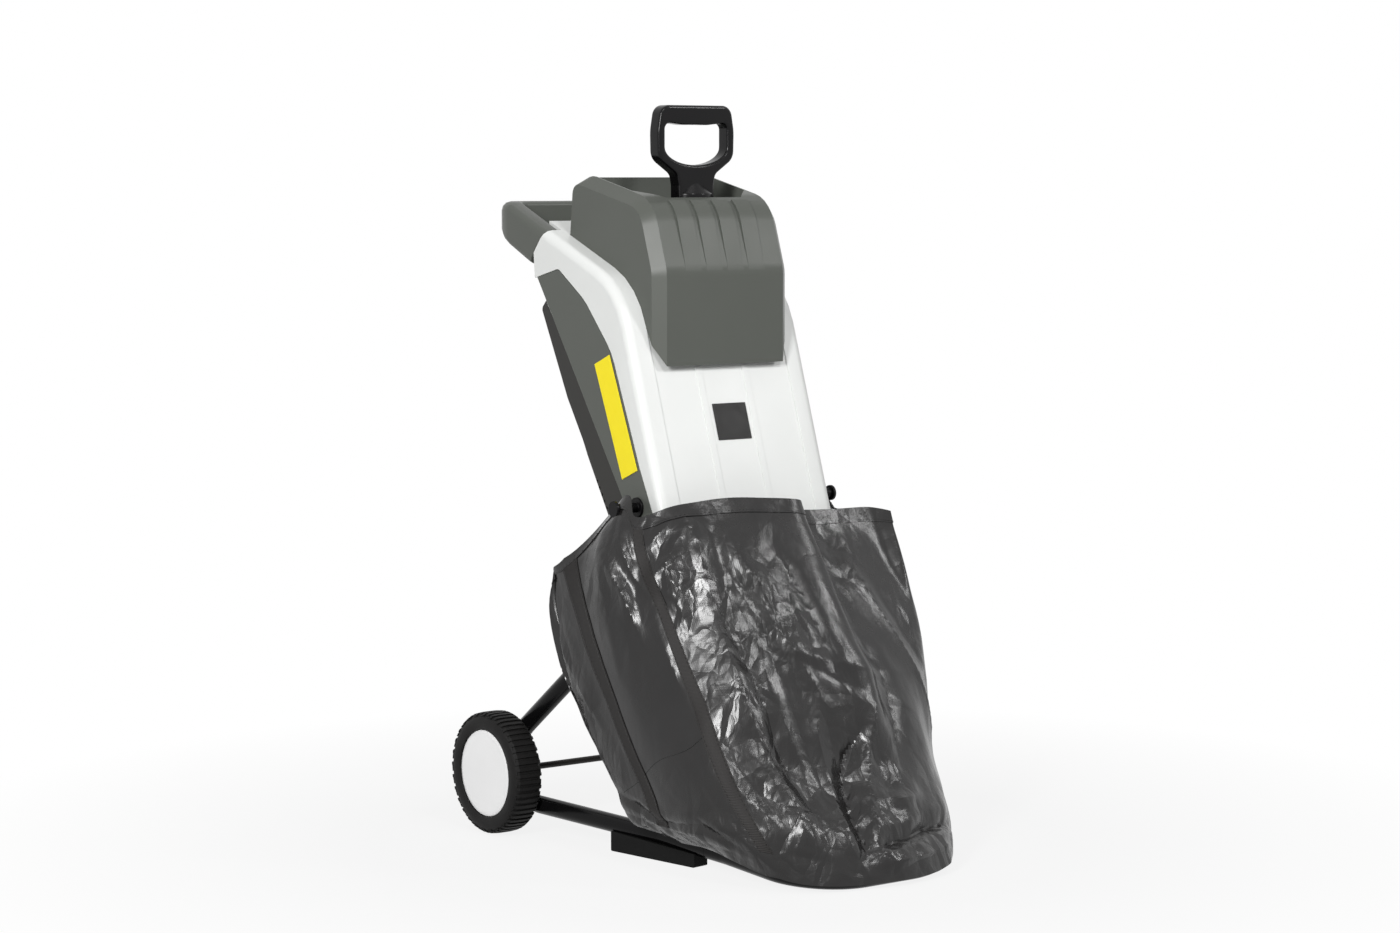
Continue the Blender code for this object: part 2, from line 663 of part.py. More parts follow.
def ring(name, outer, inner, low, high, finish, parent, place=Matrix.Identity(4), facets=ROUND):
    """A tube-shaped ring along local z."""
    profile = [(inner, high), (outer, high), (outer, low), (inner, low)]
    return turned(name, profile, finish, parent, place, facets)


def rounded_path(corners, step=radians(12)):
    """Open path through (point, radius) corners, as plain points."""
    points = []
    for i, (point, radius) in enumerate(corners):
        here = Vector(point)
        if i in (0, len(corners) - 1) or radius <= 0:
            points.append(here)
            continue
        back = (Vector(corners[i - 1][0]) - here).normalized()
        ahead = (Vector(corners[i + 1][0]) - here).normalized()
        turn = pi - back.angle(ahead)
        reach = radius * tan(turn / 2)
        centre = here + (back + ahead).normalized() * radius / cos(turn / 2)
        first = here + back * reach - centre
        axis = first.cross(here + ahead * reach - centre).normalized()
        count = max(1, ceil(turn / step))
        for k in range(count + 1):
            points.append(centre + Matrix.Rotation(turn * k / count, 3, axis) @ first)
    return points


def tube(name, path, radius, finish, parent=AXLE):
    """A round tube along a path, as a closed mesh."""
    curve = bpy.data.curves.new(name, "CURVE")
    curve.dimensions = "3D"
    curve.bevel_depth = radius
    curve.bevel_resolution = 2
    curve.use_fill_caps = True
    spline = curve.splines.new("POLY")
    spline.points.add(len(path) - 1)
    for point, where in zip(spline.points, path):
        point.co = (*where, 1)
    return smooth(piece(name, curve_mesh(curve, name), finish, parent, Matrix.Identity(4)), radians(50))


def loft(name, rings, finish, parent=AXLE):
    """A closed solid through rings of equally many points, lowest first, anticlockwise from above."""
    shape = bmesh.new()
    levels = [[shape.verts.new(point) for point in points] for points in rings]
    count = len(rings[0])
    for low, high in zip(levels, levels[1:]):
        for k in range(count):
            ahead = (k + 1) % count
            shape.faces.new((low[k], low[ahead], high[ahead], high[k]))
    shape.faces.new(levels[0][::-1])
    shape.faces.new(levels[-1])
    bmesh.ops.triangulate(shape, faces=[f for f in shape.faces if len(f.verts) > 3])
    bmesh.ops.recalc_face_normals(shape, faces=shape.faces)
    mesh = bpy.data.meshes.new(name)
    shape.to_mesh(mesh)
    shape.free()
    return piece(name, mesh, finish, parent, Matrix.Identity(4))


def round_edges(made, width, segments, test):
    """Rounds the edges whose middle point, in the piece's own frame, passes the test."""
    mesh = made.data
    weights = mesh.attributes.new("bevel_weight_edge", "FLOAT", "EDGE")
    for edge in mesh.edges:
        ends = [mesh.vertices[v].co for v in edge.vertices]
        if test((ends[0] + ends[1]) / 2, ends[1] - ends[0]):
            weights.data[edge.index].value = 1.0
    bevel = made.modifiers.new("edge", "BEVEL")
    bevel.limit_method = "WEIGHT"
    bevel.width = width
    bevel.segments = segments
    return made


def both_sides(make):
    """Makes a left and a right piece: x is negative on the left."""
    return [make("left", -1), make("right", 1)]


# Tower casing

def body_outline():
    foot = side(FRONT_V, SHELL_FOOT_U)
    edge = (0.0, TOP_AT_Z)
    shoulder = meet(foot, tan(LEAN), edge, 1 / TOP_SLOPE)
    top_back = (BODY_BACK[0], TOP_AT_Z + TOP_SLOPE * BODY_BACK[0])
    low_back = (BODY_BACK[1], BODY_BACK_Z)
    rear_foot = on_deck(REAR_SLOPE, low_back)
    return [(*foot, 0.0), (*shoulder, SHOULDER_R), (*top_back, 0.0), (*low_back, 0.0), (*rear_foot, 0.0)]


def panel_outline():
    last = PANEL_FRONT[-1]
    front_foot = on_deck(PANEL_FOOT_RUN, last)
    rear_foot = on_deck(REAR_SLOPE, (rear_y(last[1]), last[1]))
    return PANEL_FRONT + [(*front_foot, 0.0), (*rear_foot, 0.0)]


def hood_outline():
    return [(HOOD_FRONT_Y, HOOD_FOOT_Z, 0.0), (HOOD_FRONT_Y, HOOD_KNEE_Z, HOOD_KNEE_R),
            (*HOOD_BROW, HOOD_BROW_R), (*HOOD_BACK_TOP, HOOD_BACK_R), (*HOOD_BACK_FOOT, 0.0), (*HOOD_LIP, 0.0)]


def front_shell():
    outline = body_outline()
    shell = across("front_shell", fillet(outline), BODY_HALF, WHITE)

    def is_rail(middle, _):
        y, z, x = middle
        on_top = z > TOP_AT_Z + TOP_SLOPE * y - 0.004
        on_front = y < rear_y(z) - 0.050
        return abs(abs(x) - BODY_HALF) < 1e-5 and (on_top or on_front) and along_tower(y, z) > DECK_U + 0.006
    round_edges(shell, EDGE_R, 3, is_rail)
    inner = inset(outline, [WALL, WALL, WALL, -0.03, -0.03])
    modify(shell, across("body_cavity", fillet(inner), BODY_HALF - SIDE_WALL - SIDE_WALL - GAP, None))
    recess = inset(panel_outline(), [-SHADOW_GAP] * 5 + [-0.02, -0.03])
    for name, sign in (("left", -1), ("right", 1)):
        near, far = BODY_HALF - SIDE_WALL - GAP, BODY_HALF + 0.02
        low, high = (near, far) if sign > 0 else (-far, -near)
        modify(shell, plate(f"panel_recess_{name}", [fillet(recess)], low, high, None))
    window = [(HOOD_FRONT_Y - 0.05, HOOD_LIP[1] - GAP), (HOOD_FRONT_Y - 0.05, HOOD_BACK_TOP[1] + 0.05),
              (HOOD_BACK_FOOT[0] + GAP, HOOD_BACK_TOP[1] + 0.05),
              (HOOD_BACK_FOOT[0] + GAP, HOOD_BACK_FOOT[1] - 0.02),
              (HOOD_LIP[0] + 0.02, HOOD_LIP[1] - GAP)]
    modify(shell, across("hood_window", window, HOOD_HALF + GAP, None))
    joint = Vector(JOINT_FOOT) - Vector(JOINT_TOP)
    before = Vector((-joint.y, joint.x)).normalized() * -GAP
    top = Vector(JOINT_TOP) + before - joint
    foot = Vector(JOINT_FOOT) + before + joint
    beyond = [tuple(top), tuple(foot), (foot.x + 0.06, foot.y), (foot.x + 0.06, top.y + 0.03)]
    for name, low, high in (("left", -BODY_HALF - 0.02, -BODY_HALF + HANDLE_ARM + GAP),
                            ("right", BODY_HALF - HANDLE_ARM - GAP, BODY_HALF + 0.02)):
        modify(shell, plate(f"handle_seat_{name}", [beyond], low, high, None))
    panel_top = along_tower(*side(FRONT_V, 0)) + (HOOD_FOOT_Z + 0.02) / cos(LEAN)
    size = (PANEL_WIDTH, 2 * PANEL_RECESS, 2 * panel_top)
    modify(shell, block("front_recess", size, (0, FRONT_V, 0), None, TOWER))
    for name, sign in (("left", -1), ("right", 1)):
        low, high = SHELL_FOOT_U + 0.001, HOOD_FOOT_Z / cos(LEAN) + FRONT_V * tan(LEAN) - 0.002
        face = FRONT_V + PANEL_RECESS
        size = (STRIP_WIDTH, 2 * STRIP_HEIGHT, high - low)
        strip = block(f"front_strip_{name}", size, (sign * STRIP_X, face, (low + high) / 2), None, TOWER)
        modify(shell, strip, "UNION")
    return shell


def side_panels():
    outline = fillet(panel_outline())

    def make(name, sign):
        near = BODY_HALF - SIDE_WALL
        low, high = (near, BODY_HALF) if sign > 0 else (-BODY_HALF, -near)
        return plate(f"side_panel_{name}", [outline], low, high, GREY)
    return both_sides(make)


def funnel_rings(wall):
    """The hopper's funnel from the throat to above the rim, moved outwards by a wall."""
    half, depth = CHUTE_WIDTH / 2 + wall, CHUTE_DEPTH / 2 + wall
    front, back = CHUTE_Y - depth, CHUTE_Y + depth
    throat = [(-half, back), (-half, front + THROAT_CORNER), (-half + THROAT_CORNER, front),
              (half - THROAT_CORNER, front), (half, front + THROAT_CORNER), (half, back)]
    mouth = [(-MOUTH_HALF - wall, MOUTH_BACK_Y + wall), (-MOUTH_HALF - wall, MOUTH_SIDE_Y - wall),
             (-MOUTH_FRONT_HALF - wall, MOUTH_FRONT_Y - wall), (MOUTH_FRONT_HALF + wall, MOUTH_FRONT_Y - wall),
             (MOUTH_HALF + wall, MOUTH_SIDE_Y - wall), (MOUTH_HALF + wall, MOUTH_BACK_Y + wall)]
    levels = [(throat, THROAT_Z - 0.01), (throat, THROAT_Z), (mouth, MOUTH_Z), (mouth, HOOD_BACK_TOP[1] + 0.02)]
    return [[(x, y, z) for x, y in outline] for outline, z in levels]


def chamfered(outline, half, chamfer):
    """Rings across X for a side outline whose first three edges, front and top, are cut flat at both sides."""
    cut = inset(outline, [chamfer] * 3 + [0.0] * (len(outline) - 3))
    narrow, wide = fillet(cut), fillet(outline)
    levels = [(-half, narrow), (chamfer - half, wide), (half - chamfer, wide), (half, narrow)]
    return [[(x, y, z) for y, z in ring_points] for x, ring_points in levels]


def hopper_hood():
    outline = hood_outline()
    smooth_outline = fillet(outline)
    hood = loft("hopper_hood", chamfered(outline, HOOD_HALF, HOOD_CHAMFER), GREY)
    wall = HOOD_WALL
    inner = inset(outline, [wall, wall, wall, wall, -0.001, wall])
    inner_chamfer = HOOD_CHAMFER - wall * (2 - 2 ** 0.5)
    cavity = loft("hood_cavity", chamfered(inner, HOOD_HALF - wall, inner_chamfer), None)
    keep = loft("funnel_wall", funnel_rings(HOOD_WALL), None)
    modify(cavity, keep)
    modify(hood, cavity)
    front_curve = [p for p in smooth_outline if p[0] < MOUTH_FRONT_Y and p[1] > HOOD_FOOT_Z + 0.01]
    front_curve = [(HOOD_FRONT_Y, RIB_FOOT_Z)] + [p for p in front_curve if p[1] > RIB_FOOT_Z]
    rib = ribbon(front_curve, RIB_HEIGHT, RIB_ROOT)
    for k in range(RIB_COUNT):
        middle = (k - (RIB_COUNT - 1) / 2) * RIB_PITCH
        low, high = middle - RIB_WIDTH / 2, middle + RIB_WIDTH / 2
        modify(hood, plate(f"hood_rib_{k + 1}", [rib], low, high, None), "UNION")
    modify(hood, loft("funnel_bore", funnel_rings(0), None))
    inside_chute = block("chute_room", (CHUTE_WIDTH + 4 * HOOD_WALL, CHUTE_DEPTH + 4 * HOOD_WALL, 0.1),
                         (0, CHUTE_Y, THROAT_Z + GAP - 0.05), None)
    modify(hood, inside_chute)
    return hood


def chute_path():
    """Middle line of the feed chute, from the base plate up to the throat."""
    foot = side(CHUTE_V, DECK_U - DECK_THICKNESS + GAP)
    bend_z = (CHUTE_Y * cos(LEAN) - CHUTE_V) / sin(LEAN)
    return [foot, (CHUTE_Y, bend_z), (CHUTE_Y, THROAT_Z)]


def feed_chute():
    path = chute_path()
    half = CHUTE_DEPTH / 2
    chute = across("feed_chute", ribbon(path, half + CHUTE_WALL, half + CHUTE_WALL),
                   CHUTE_WIDTH / 2 + CHUTE_WALL, GREY)
    foot = Vector(path[0]) - (Vector(path[1]) - Vector(path[0])) * 0.1
    longer = [tuple(foot), path[1], (path[2][0], path[2][1] + 0.05)]
    return modify(chute, across("chute_bore", ribbon(longer, half, half), CHUTE_WIDTH / 2, None))


def handle_plan():
    """Pairs of outer and inner (x, y) points along the left half of the handle, from its arm to its back."""
    corner_y, corner_x = HANDLE_REAR - HANDLE_CORNER_R, HANDLE_CORNER_R - BODY_HALF
    pairs = []
    for k in range(HANDLE_TURN_STEPS + 1):
        turn = pi / 2 * k / HANDLE_TURN_STEPS
        width = HANDLE_ARM + (HANDLE_GRIP - HANDLE_ARM) * k / HANDLE_TURN_STEPS
        pair = []
        for radius in (HANDLE_CORNER_R, HANDLE_CORNER_R - width):
            pair.append((corner_x - radius * cos(turn), corner_y + radius * sin(turn)))
        pairs.append(pair)
    return pairs


def handle_section(width):
    """The handle's cross-section as (distance from its outer face, from below or from above, height)."""
    foot, top, edge = HANDLE_FOOT_EDGE, HANDLE_TOP_R, HANDLE_INNER_EDGE
    points = [(0.3 * foot, "low", 0.3 * foot), (0.0, "low", foot)]
    for k in range(4):
        turn = pi / 2 * k / 3
        points.append((top - top * cos(turn), "top", top * sin(turn) - top))
    points += [(width - edge, "top", 0.0), (width - 0.3 * edge, "top", -0.3 * edge), (width, "top", -edge)]
    points += [(width, "low", 0.5 * foot), (width - 0.5 * foot, "low", 0.0), (foot, "low", 0.0)]
    return points


def handle_ring(outer, inner):
    """One upright section of the handle between two plan points."""
    across_arm = Vector(inner) - Vector(outer)
    points = []
    for inwards, side_of, height in handle_section(across_arm.length):
        where = Vector(outer) + across_arm.normalized() * inwards
        low = JOINT_FOOT[1] + HANDLE_LOW_SLOPE * (min(where.y, HANDLE_LOW_Y) - JOINT_FOOT[0])
        top = min(TOP_AT_Z + TOP_SLOPE * where.y, HANDLE_TOP_Z)
        points.append((where.x, where.y, (low if side_of == "low" else top) + height))
    return points


def handle_end_ring():
    """The end section of the left arm, slanted along the joint with the white body."""
    run = (JOINT_FOOT[0] - JOINT_TOP[0]) / (JOINT_FOOT[1] - JOINT_TOP[1])
    points = []
    for inwards, side_of, height in handle_section(HANDLE_ARM):
        z = (JOINT_FOOT[1] if side_of == "low" else JOINT_TOP[1]) + height
        points.append((inwards - BODY_HALF, JOINT_TOP[0] + run * (z - JOINT_TOP[1]), z))
    return points


def transport_handle():
    left = [handle_end_ring()] + [handle_ring(*pair) for pair in handle_plan()]
    right = [[(-x, y, z) for x, y, z in points] for points in reversed(left)]
    return smooth(loft("transport_handle", left + right, GREY))


# Black covers at the back

def cover_flange(top, foot):
    """Thin strip just inside the white body's open rear edge, between two heights."""
    run = Vector((REAR_SLOPE, 1)).normalized()
    square = Vector((-run.y, run.x))
    upper = Vector((rear_y(top), top))
    lower = Vector((rear_y(foot), foot))
    near, far = square * 0.0005, square * (0.0005 + COVER_FLANGE)
    return [tuple(upper + near), tuple(upper + far), tuple(lower + far), tuple(lower + near)]


def rear_cover():
    top = (rear_y(COVER_TOP_Z), COVER_TOP_Z)
    foot = on_deck(COVER_SEAM_SLOPE, COVER_WAIST)
    front_foot = on_deck(REAR_SLOPE, (BODY_BACK[1], BODY_BACK_Z))
    outline = [(*top, 0.0), (*COVER_PEAK, 0.006), (*COVER_WAIST, 0.0), (*foot, 0.0), (*front_foot, 0.0)]
    outline = inset(outline, [0, 0, 0, 0, -COVER_FLANGE])
    cover = across("rear_cover", fillet(outline), COVER_HALF, BLACK)
    flange = cover_flange(COVER_TOP_Z - 0.002, front_foot[1] + 0.006)
    inside = BODY_HALF - 2 * SIDE_WALL - 2 * GAP
    modify(cover, across("cover_flange", flange, inside, None), "UNION")
    wall = COVER_WALL
    inner = inset(outline, [wall, wall, wall, -0.03, -0.03])
    modify(cover, across("cover_cavity", fillet(inner), COVER_HALF - wall, None))
    lintel, sill = COVER_WAIST[1] - MOTOR_LINTEL, foot[1] - MOTOR_LINTEL
    window = [(COVER_WAIST[0] + MOTOR_LINTEL, lintel), (COVER_WAIST[0] + MOTOR_LINTEL, sill),
              (seam_y(sill) - MOTOR_SEAM_BACK, sill), (seam_y(lintel) - MOTOR_SEAM_BACK, lintel)]
    modify(cover, across("motor_window", window, MOTOR_COVER_HALF - MOTOR_WINDOW_SIDE, None))
    hole = cylinder("lock_hole_rear", LOCK_BOLT_R + GAP, -2 * LOCK_BOLT_LENGTH, KNOB_HEIGHT, None, KNOB,
                    facets=TINY_ROUND)
    return modify(cover, hole)


def motor_cover():
    top = (COVER_WAIST[0], COVER_WAIST[1])
    foot = on_deck(COVER_SEAM_SLOPE, COVER_WAIST)
    low_back = side(MOTOR_COVER_V, SHELL_FOOT_U)
    outline = [(*top, 0.0), (*MOTOR_COVER_KNEE, 0.020), (*MOTOR_COVER_LOW, 0.030), (*low_back, 0.0), (*foot, 0.0)]
    seam = GAP
    outline = inset(outline, [0, 0, 0, 0, seam])
    cover = across("motor_cover", fillet([(a, b, r or 0.0) for a, b, r in outline]), MOTOR_COVER_HALF, BLACK)

    def is_back_edge(middle, _):
        y, z, x = middle
        return abs(abs(x) - MOTOR_COVER_HALF) < 1e-5 and y > seam_y(z) + 0.006 \
            and z < MOTOR_COVER_KNEE[1] + 0.004 and along_tower(y, z) > DECK_U + 0.004
    round_edges(cover, 0.006, 2, is_back_edge)
    wall = COVER_WALL
    inner = inset(outline, [wall, wall, wall, -0.03, -0.03])
    modify(cover, across("motor_cover_cavity", fillet(inner), MOTOR_COVER_HALF - wall, None))
    slant = Matrix.Rotation(-VENT_SLANT, 4, "X")
    for k in range(VENT_COUNT):
        z = VENT_START_Z - k * VENT_PITCH
        y = seam_y(z) + VENT_BEHIND_SEAM
        size = (2 * MOTOR_COVER_HALF + 0.02, VENT_LENGTH, VENT_WIDTH)
        modify(cover, block(f"vent_{k + 1}", size, (0, y, z), None, AXLE, slant))
    hole = cylinder("lock_hole_motor", LOCK_BOLT_R + GAP, -2 * LOCK_BOLT_LENGTH, KNOB_HEIGHT, None, KNOB,
                    facets=TINY_ROUND)
    return modify(cover, hole)


# Base plate and disc housing

def base_plate():
    front, back = FRONT_V + 0.0016, SPINDLE_V + HOUSING_R + HOUSING_WALL + 0.003
    wide, narrow = BODY_HALF - 0.002, MOTOR_COVER_HALF + 0.003
    step = SPINDLE_V + 0.025
    half = [(wide, front, 0.005), (wide, step, 0.006), (narrow, step + 0.010, 0.006), (narrow, back, 0.020)]
    outline = fillet(mirrored(half))
    low = DECK_U - DECK_THICKNESS
    deck = plate("base_plate", [outline], low, DECK_U, CAST, TOWER, TOP_VIEW)
    boss_top = DECK_U + GAP + BEARING_HEIGHT + GAP
    boss_r = BEARING_R + GAP + BOSS_WALL
    modify(deck, cylinder("bearing_boss", boss_r, low + 0.001, boss_top, None, SPINDLE, facets=ROUND), "UNION")
    lug_near = HOUSING_R + HOUSING_WALL + GAP
    lug_far = STRUT_X - TUBE_R - GAP
    clamp_v = STRUT_CLAMP_Y * cos(LEAN) - strut_z(STRUT_CLAMP_Y) * sin(LEAN)
    for name, sign in (("left", -1), ("right", 1)):
        size = (lug_far - lug_near, LUG_LENGTH, low + 0.002 - LUG_FOOT_U)
        centre = (sign * (lug_near + lug_far) / 2, clamp_v, (low + 0.002 + LUG_FOOT_U) / 2)
        modify(deck, block(f"lug_{name}", size, centre, None, TOWER), "UNION")
        near = STRUT_X - TUBE_R - STRUT_BOLT_DEPTH - 0.003
        low_x, high_x = (near, STRUT_X) if sign > 0 else (-STRUT_X, -near)
        modify(deck, cylinder(f"lug_hole_{name}", STRUT_BOLT_R + GAP, low_x, high_x, None, AXLE,
                              CLAMP_PLACE @ ALONG_X, TINY_ROUND))
    modify(deck, cylinder("bearing_pocket", BEARING_R + GAP, DECK_U, DECK_U + 0.05, None, SPINDLE, facets=ROUND))
    modify(deck, cylinder("spindle_hole", BEARING_R * 0.72, low - 0.01, DECK_U + 0.05, None, SPINDLE))
    size = (CHUTE_WIDTH + 2 * CHUTE_WALL + 2 * GAP, CHUTE_DEPTH + 2 * CHUTE_WALL + 2 * GAP, 0.03)
    return modify(deck, block("chute_window", size, (0, CHUTE_V, DECK_U), None, TOWER))


def disc_housing():
    top = DECK_U - DECK_THICKNESS - GAP
    outer = HOUSING_R + HOUSING_WALL
    skirt = turned("disc_housing", [(HOUSING_R, top), (outer, top), (outer, HOUSING_FOOT_U),
                                    (0, HOUSING_FOOT_U), (0, HOUSING_FOOT_U + HOUSING_FLOOR),
                                    (HOUSING_R, HOUSING_FOOT_U + HOUSING_FLOOR)], BLACK, SPINDLE)
    reach = HOUSING_R - 0.004
    mouth = [(reach * cos(a), reach * sin(a)) for a in (pi + pi * k / 20 for k in range(21))]
    opening = plate("discharge_mouth", [mouth], HOUSING_FOOT_U - 0.01, HOUSING_FOOT_U + 0.008, None,
                    SPINDLE, TOP_VIEW)
    return modify(skirt, opening)


# Motor

def motor_fixed():
    wall_r = MOTOR_R - MOTOR_WALL
    lower = ring("motor_lower_bracket", MOTOR_R, wall_r, MOTOR_FOOT_U, STATOR_U - GAP, CAST, SPINDLE)
    for k in range(3):
        turn = Matrix.Rotation(pi * k / 3 + pi / 6, 4, "Z")
        size = (3 * MOTOR_R, 0.018, FAN_HEIGHT)
        centre = (0, 0, FAN_U + FAN_HEIGHT / 2)
        modify(lower, block(f"air_window_{k + 1}", size, centre, None, SPINDLE, turn))
    stator = ring("motor_stator", MOTOR_R, STATOR_BORE_R, STATOR_U, STATOR_TOP_U, IRON, SPINDLE)
    coils = ring("field_windings", WINDING_R, WINDING_BORE_R, STATOR_U - GAP - WINDING_HEIGHT,
                 STATOR_U - GAP, COPPER, SPINDLE, facets=28)
    upper_coil = ring("upper_winding", WINDING_R, WINDING_BORE_R, STATOR_TOP_U + GAP,
                      STATOR_TOP_U + GAP + WINDING_HEIGHT, None, SPINDLE, facets=28)
    modify(coils, upper_coil, "UNION")
    slot_x = (WINDING_R + WINDING_BORE_R) / 2
    middle_u = (STATOR_U + STATOR_TOP_U) / 2
    for name, sign in (("left", -1), ("right", 1)):
        slot = (COIL_DEPTH + 2 * GAP, COIL_WIDTH + 2 * GAP, STATOR_HEIGHT + 0.01)
        modify(stator, block(f"coil_slot_{name}", slot, (sign * slot_x, 0, middle_u), None, SPINDLE))
        bar = (COIL_DEPTH, COIL_WIDTH, STATOR_HEIGHT + 0.004)
        modify(coils, block(f"coil_bar_{name}", bar, (sign * slot_x, 0, middle_u), None, SPINDLE), "UNION")
    foot, top = STATOR_TOP_U + GAP, MOTOR_TOP_U
    pocket_r, boss_r = TOP_BEARING_R + GAP, TOP_BEARING_R + GAP + MOTOR_WALL
    pocket_foot = JOURNAL_U + 0.001
    pocket_top = pocket_foot + TOP_BEARING_HEIGHT + 2 * GAP
    profile = [(JOURNAL_R + BORE_GAP, top), (MOTOR_R, top), (MOTOR_R, foot), (wall_r, foot),
               (wall_r, top - MOTOR_WALL), (boss_r, top - MOTOR_WALL), (boss_r, pocket_foot),
               (pocket_r, pocket_foot), (pocket_r, pocket_top), (JOURNAL_R + BORE_GAP, pocket_top)]
    upper = turned("motor_upper_bracket", profile, CAST, SPINDLE)
    brush_u = COMMUTATOR_U + COMMUTATOR_HEIGHT / 2
    vents = block("bracket_vents", (0.016, 3 * MOTOR_R, BRUSH_HOLDER), (0, 0, brush_u), None, SPINDLE)
    modify(upper, vents)
    ring("lower_bearing", BEARING_R, SHAFT_R + BORE_GAP, DECK_U + GAP, DECK_U + GAP + BEARING_HEIGHT,
         STEEL, SPINDLE, facets=32)
    ring("upper_bearing", TOP_BEARING_R, JOURNAL_R + BORE_GAP, pocket_foot + GAP,
         pocket_foot + GAP + TOP_BEARING_HEIGHT, STEEL, SPINDLE, facets=28)
    low, high = brush_u - BRUSH_HOLDER / 2, brush_u + BRUSH_HOLDER / 2
    carrier = ring("brush_carrier", wall_r - GAP, COMMUTATOR_R + 0.0025, low, high, BLACK, SPINDLE)
    bore = BRUSH_SIZE + 2 * GAP
    modify(carrier, block("brush_bore", (2 * wall_r - 0.006, bore, bore), (0, 0, brush_u), None, SPINDLE))
    for name, sign in (("left", -1), ("right", 1)):
        size = (BRUSH_LENGTH, BRUSH_SIZE, BRUSH_SIZE)
        centre = (sign * (COMMUTATOR_R + GAP + BRUSH_LENGTH / 2), 0, brush_u)
        block(f"carbon_brush_{name}", size, centre, CARBON, SPINDLE)


def motor_turning():
    shaft_foot = DISC_U + GAP
    bolt_top = shaft_foot + 0.018
    bore = DISC_BOLT_R + BORE_GAP
    profile = [(0, SHAFT_TOP_U), (JOURNAL_R, SHAFT_TOP_U), (JOURNAL_R, JOURNAL_U), (SHAFT_R, JOURNAL_U),
               (SHAFT_R, shaft_foot), (bore, shaft_foot), (bore, bolt_top), (0, bolt_top)]
    turned("motor_shaft", profile, STEEL, SPINDLE, facets=24)
    seat = SHAFT_R + BORE_GAP
    ring("armature_core", STATOR_BORE_R - AIR_GAP, seat, STATOR_U, STATOR_TOP_U, IRON, SPINDLE)
    ring("commutator", COMMUTATOR_R, seat, COMMUTATOR_U, COMMUTATOR_U + COMMUTATOR_HEIGHT, COPPER,
         SPINDLE, facets=28)
    fan = ring("cooling_fan", 2 * SHAFT_R, seat, FAN_U, FAN_U + FAN_HEIGHT, BLACK, SPINDLE, facets=24)
    modify(fan, ring("fan_sheet", FAN_R, seat + 0.001, FAN_U + FAN_HEIGHT - FAN_SHEET, FAN_U + FAN_HEIGHT,
                     None, SPINDLE), "UNION")
    for k in range(FAN_BLADES):
        turn = Matrix.Rotation(2 * pi * k / FAN_BLADES + 0.1, 4, "Z")
        near, far = 2 * SHAFT_R - 0.001, FAN_R - 0.0005
        place = turn @ Matrix.Translation(((near + far) / 2, 0, 0))
        size = (far - near, FAN_SHEET, FAN_HEIGHT - 0.0005)
        vane = block(f"fan_vane_{k + 1}", size, (0, 0, FAN_U + FAN_HEIGHT / 2), None, SPINDLE, place)
        modify(fan, vane, "UNION")


# Cutting gear

def cutting_gear():
    top = DISC_U + DISC_THICKNESS
    disc = ring("cutting_disc", DISC_R, SHAFT_R + BORE_GAP, DISC_U, top, STEEL, SPINDLE, facets=56)
    blade_foot = top + GAP
    head_foot = blade_foot + BLADE_THICKNESS
    for name, angle in (("a", 0.0), ("b", pi)):
        turn = Matrix.Rotation(angle, 4, "Z")
        place = turn @ Matrix.Translation((BLADE_R, 0, 0))
        size = (BLADE_LENGTH, BLADE_WIDTH, BLADE_THICKNESS)
        centre = (0, 0, blade_foot + BLADE_THICKNESS / 2)
        blade = block(f"cutting_blade_{name}", size, centre, BLADE_STEEL, SPINDLE, place)
        slot_place = turn @ Matrix.Translation((BLADE_R, BLADE_WIDTH / 2 + BLADE_SLOT / 2 - 0.002, 0))
        slot_size = (BLADE_LENGTH, BLADE_SLOT, 0.03)
        modify(disc, block(f"disc_slot_{name}", slot_size, (0, 0, DISC_U), None, SPINDLE, slot_place))
        for k, step in enumerate((-0.5, 0.5)):
            at = turn @ Matrix.Translation((BLADE_R + step * BLADE_SCREW_PITCH, 0, 0))
            modify(disc, cylinder(f"screw_hole_{name}{k + 1}", BLADE_SCREW_R + GAP, DISC_U - 0.01, top + 0.01,
                                  None, SPINDLE, at, TINY_ROUND))
            profile = [(0, head_foot + BLADE_SCREW_HEAD), (BLADE_SCREW_HEAD_R, head_foot + BLADE_SCREW_HEAD),
                       (BLADE_SCREW_HEAD_R, head_foot - 0.001), (BLADE_SCREW_R, head_foot - 0.001),
                       (BLADE_SCREW_R, DISC_U + GAP), (0, DISC_U + GAP)]
            modify(blade, turned(f"blade_screw_{name}{k + 1}", profile, None, SPINDLE, at, TINY_ROUND), "UNION")
    hub_foot = top + GAP
    ring("disc_hub", DISC_HUB_R, SHAFT_R + BORE_GAP, hub_foot, hub_foot + DISC_HUB_HEIGHT, STEEL, SPINDLE,
         facets=32)
    washer_top = DISC_U - GAP
    washer_foot = washer_top - DISC_WASHER
    profile = [(0, DISC_U + 0.016), (DISC_BOLT_R, DISC_U + 0.016), (DISC_BOLT_R, washer_top),
               (DISC_WASHER_R, washer_top), (DISC_WASHER_R, washer_foot), (0, washer_foot)]
    bolt = turned("disc_bolt", profile, STEEL, SPINDLE, facets=24)
    head = cylinder("disc_bolt_head", DISC_BOLT_HEAD_R, washer_foot - DISC_BOLT_HEAD, washer_foot + 0.001,
                    None, SPINDLE, facets=6)
    modify(bolt, head, "UNION")


# Plunger

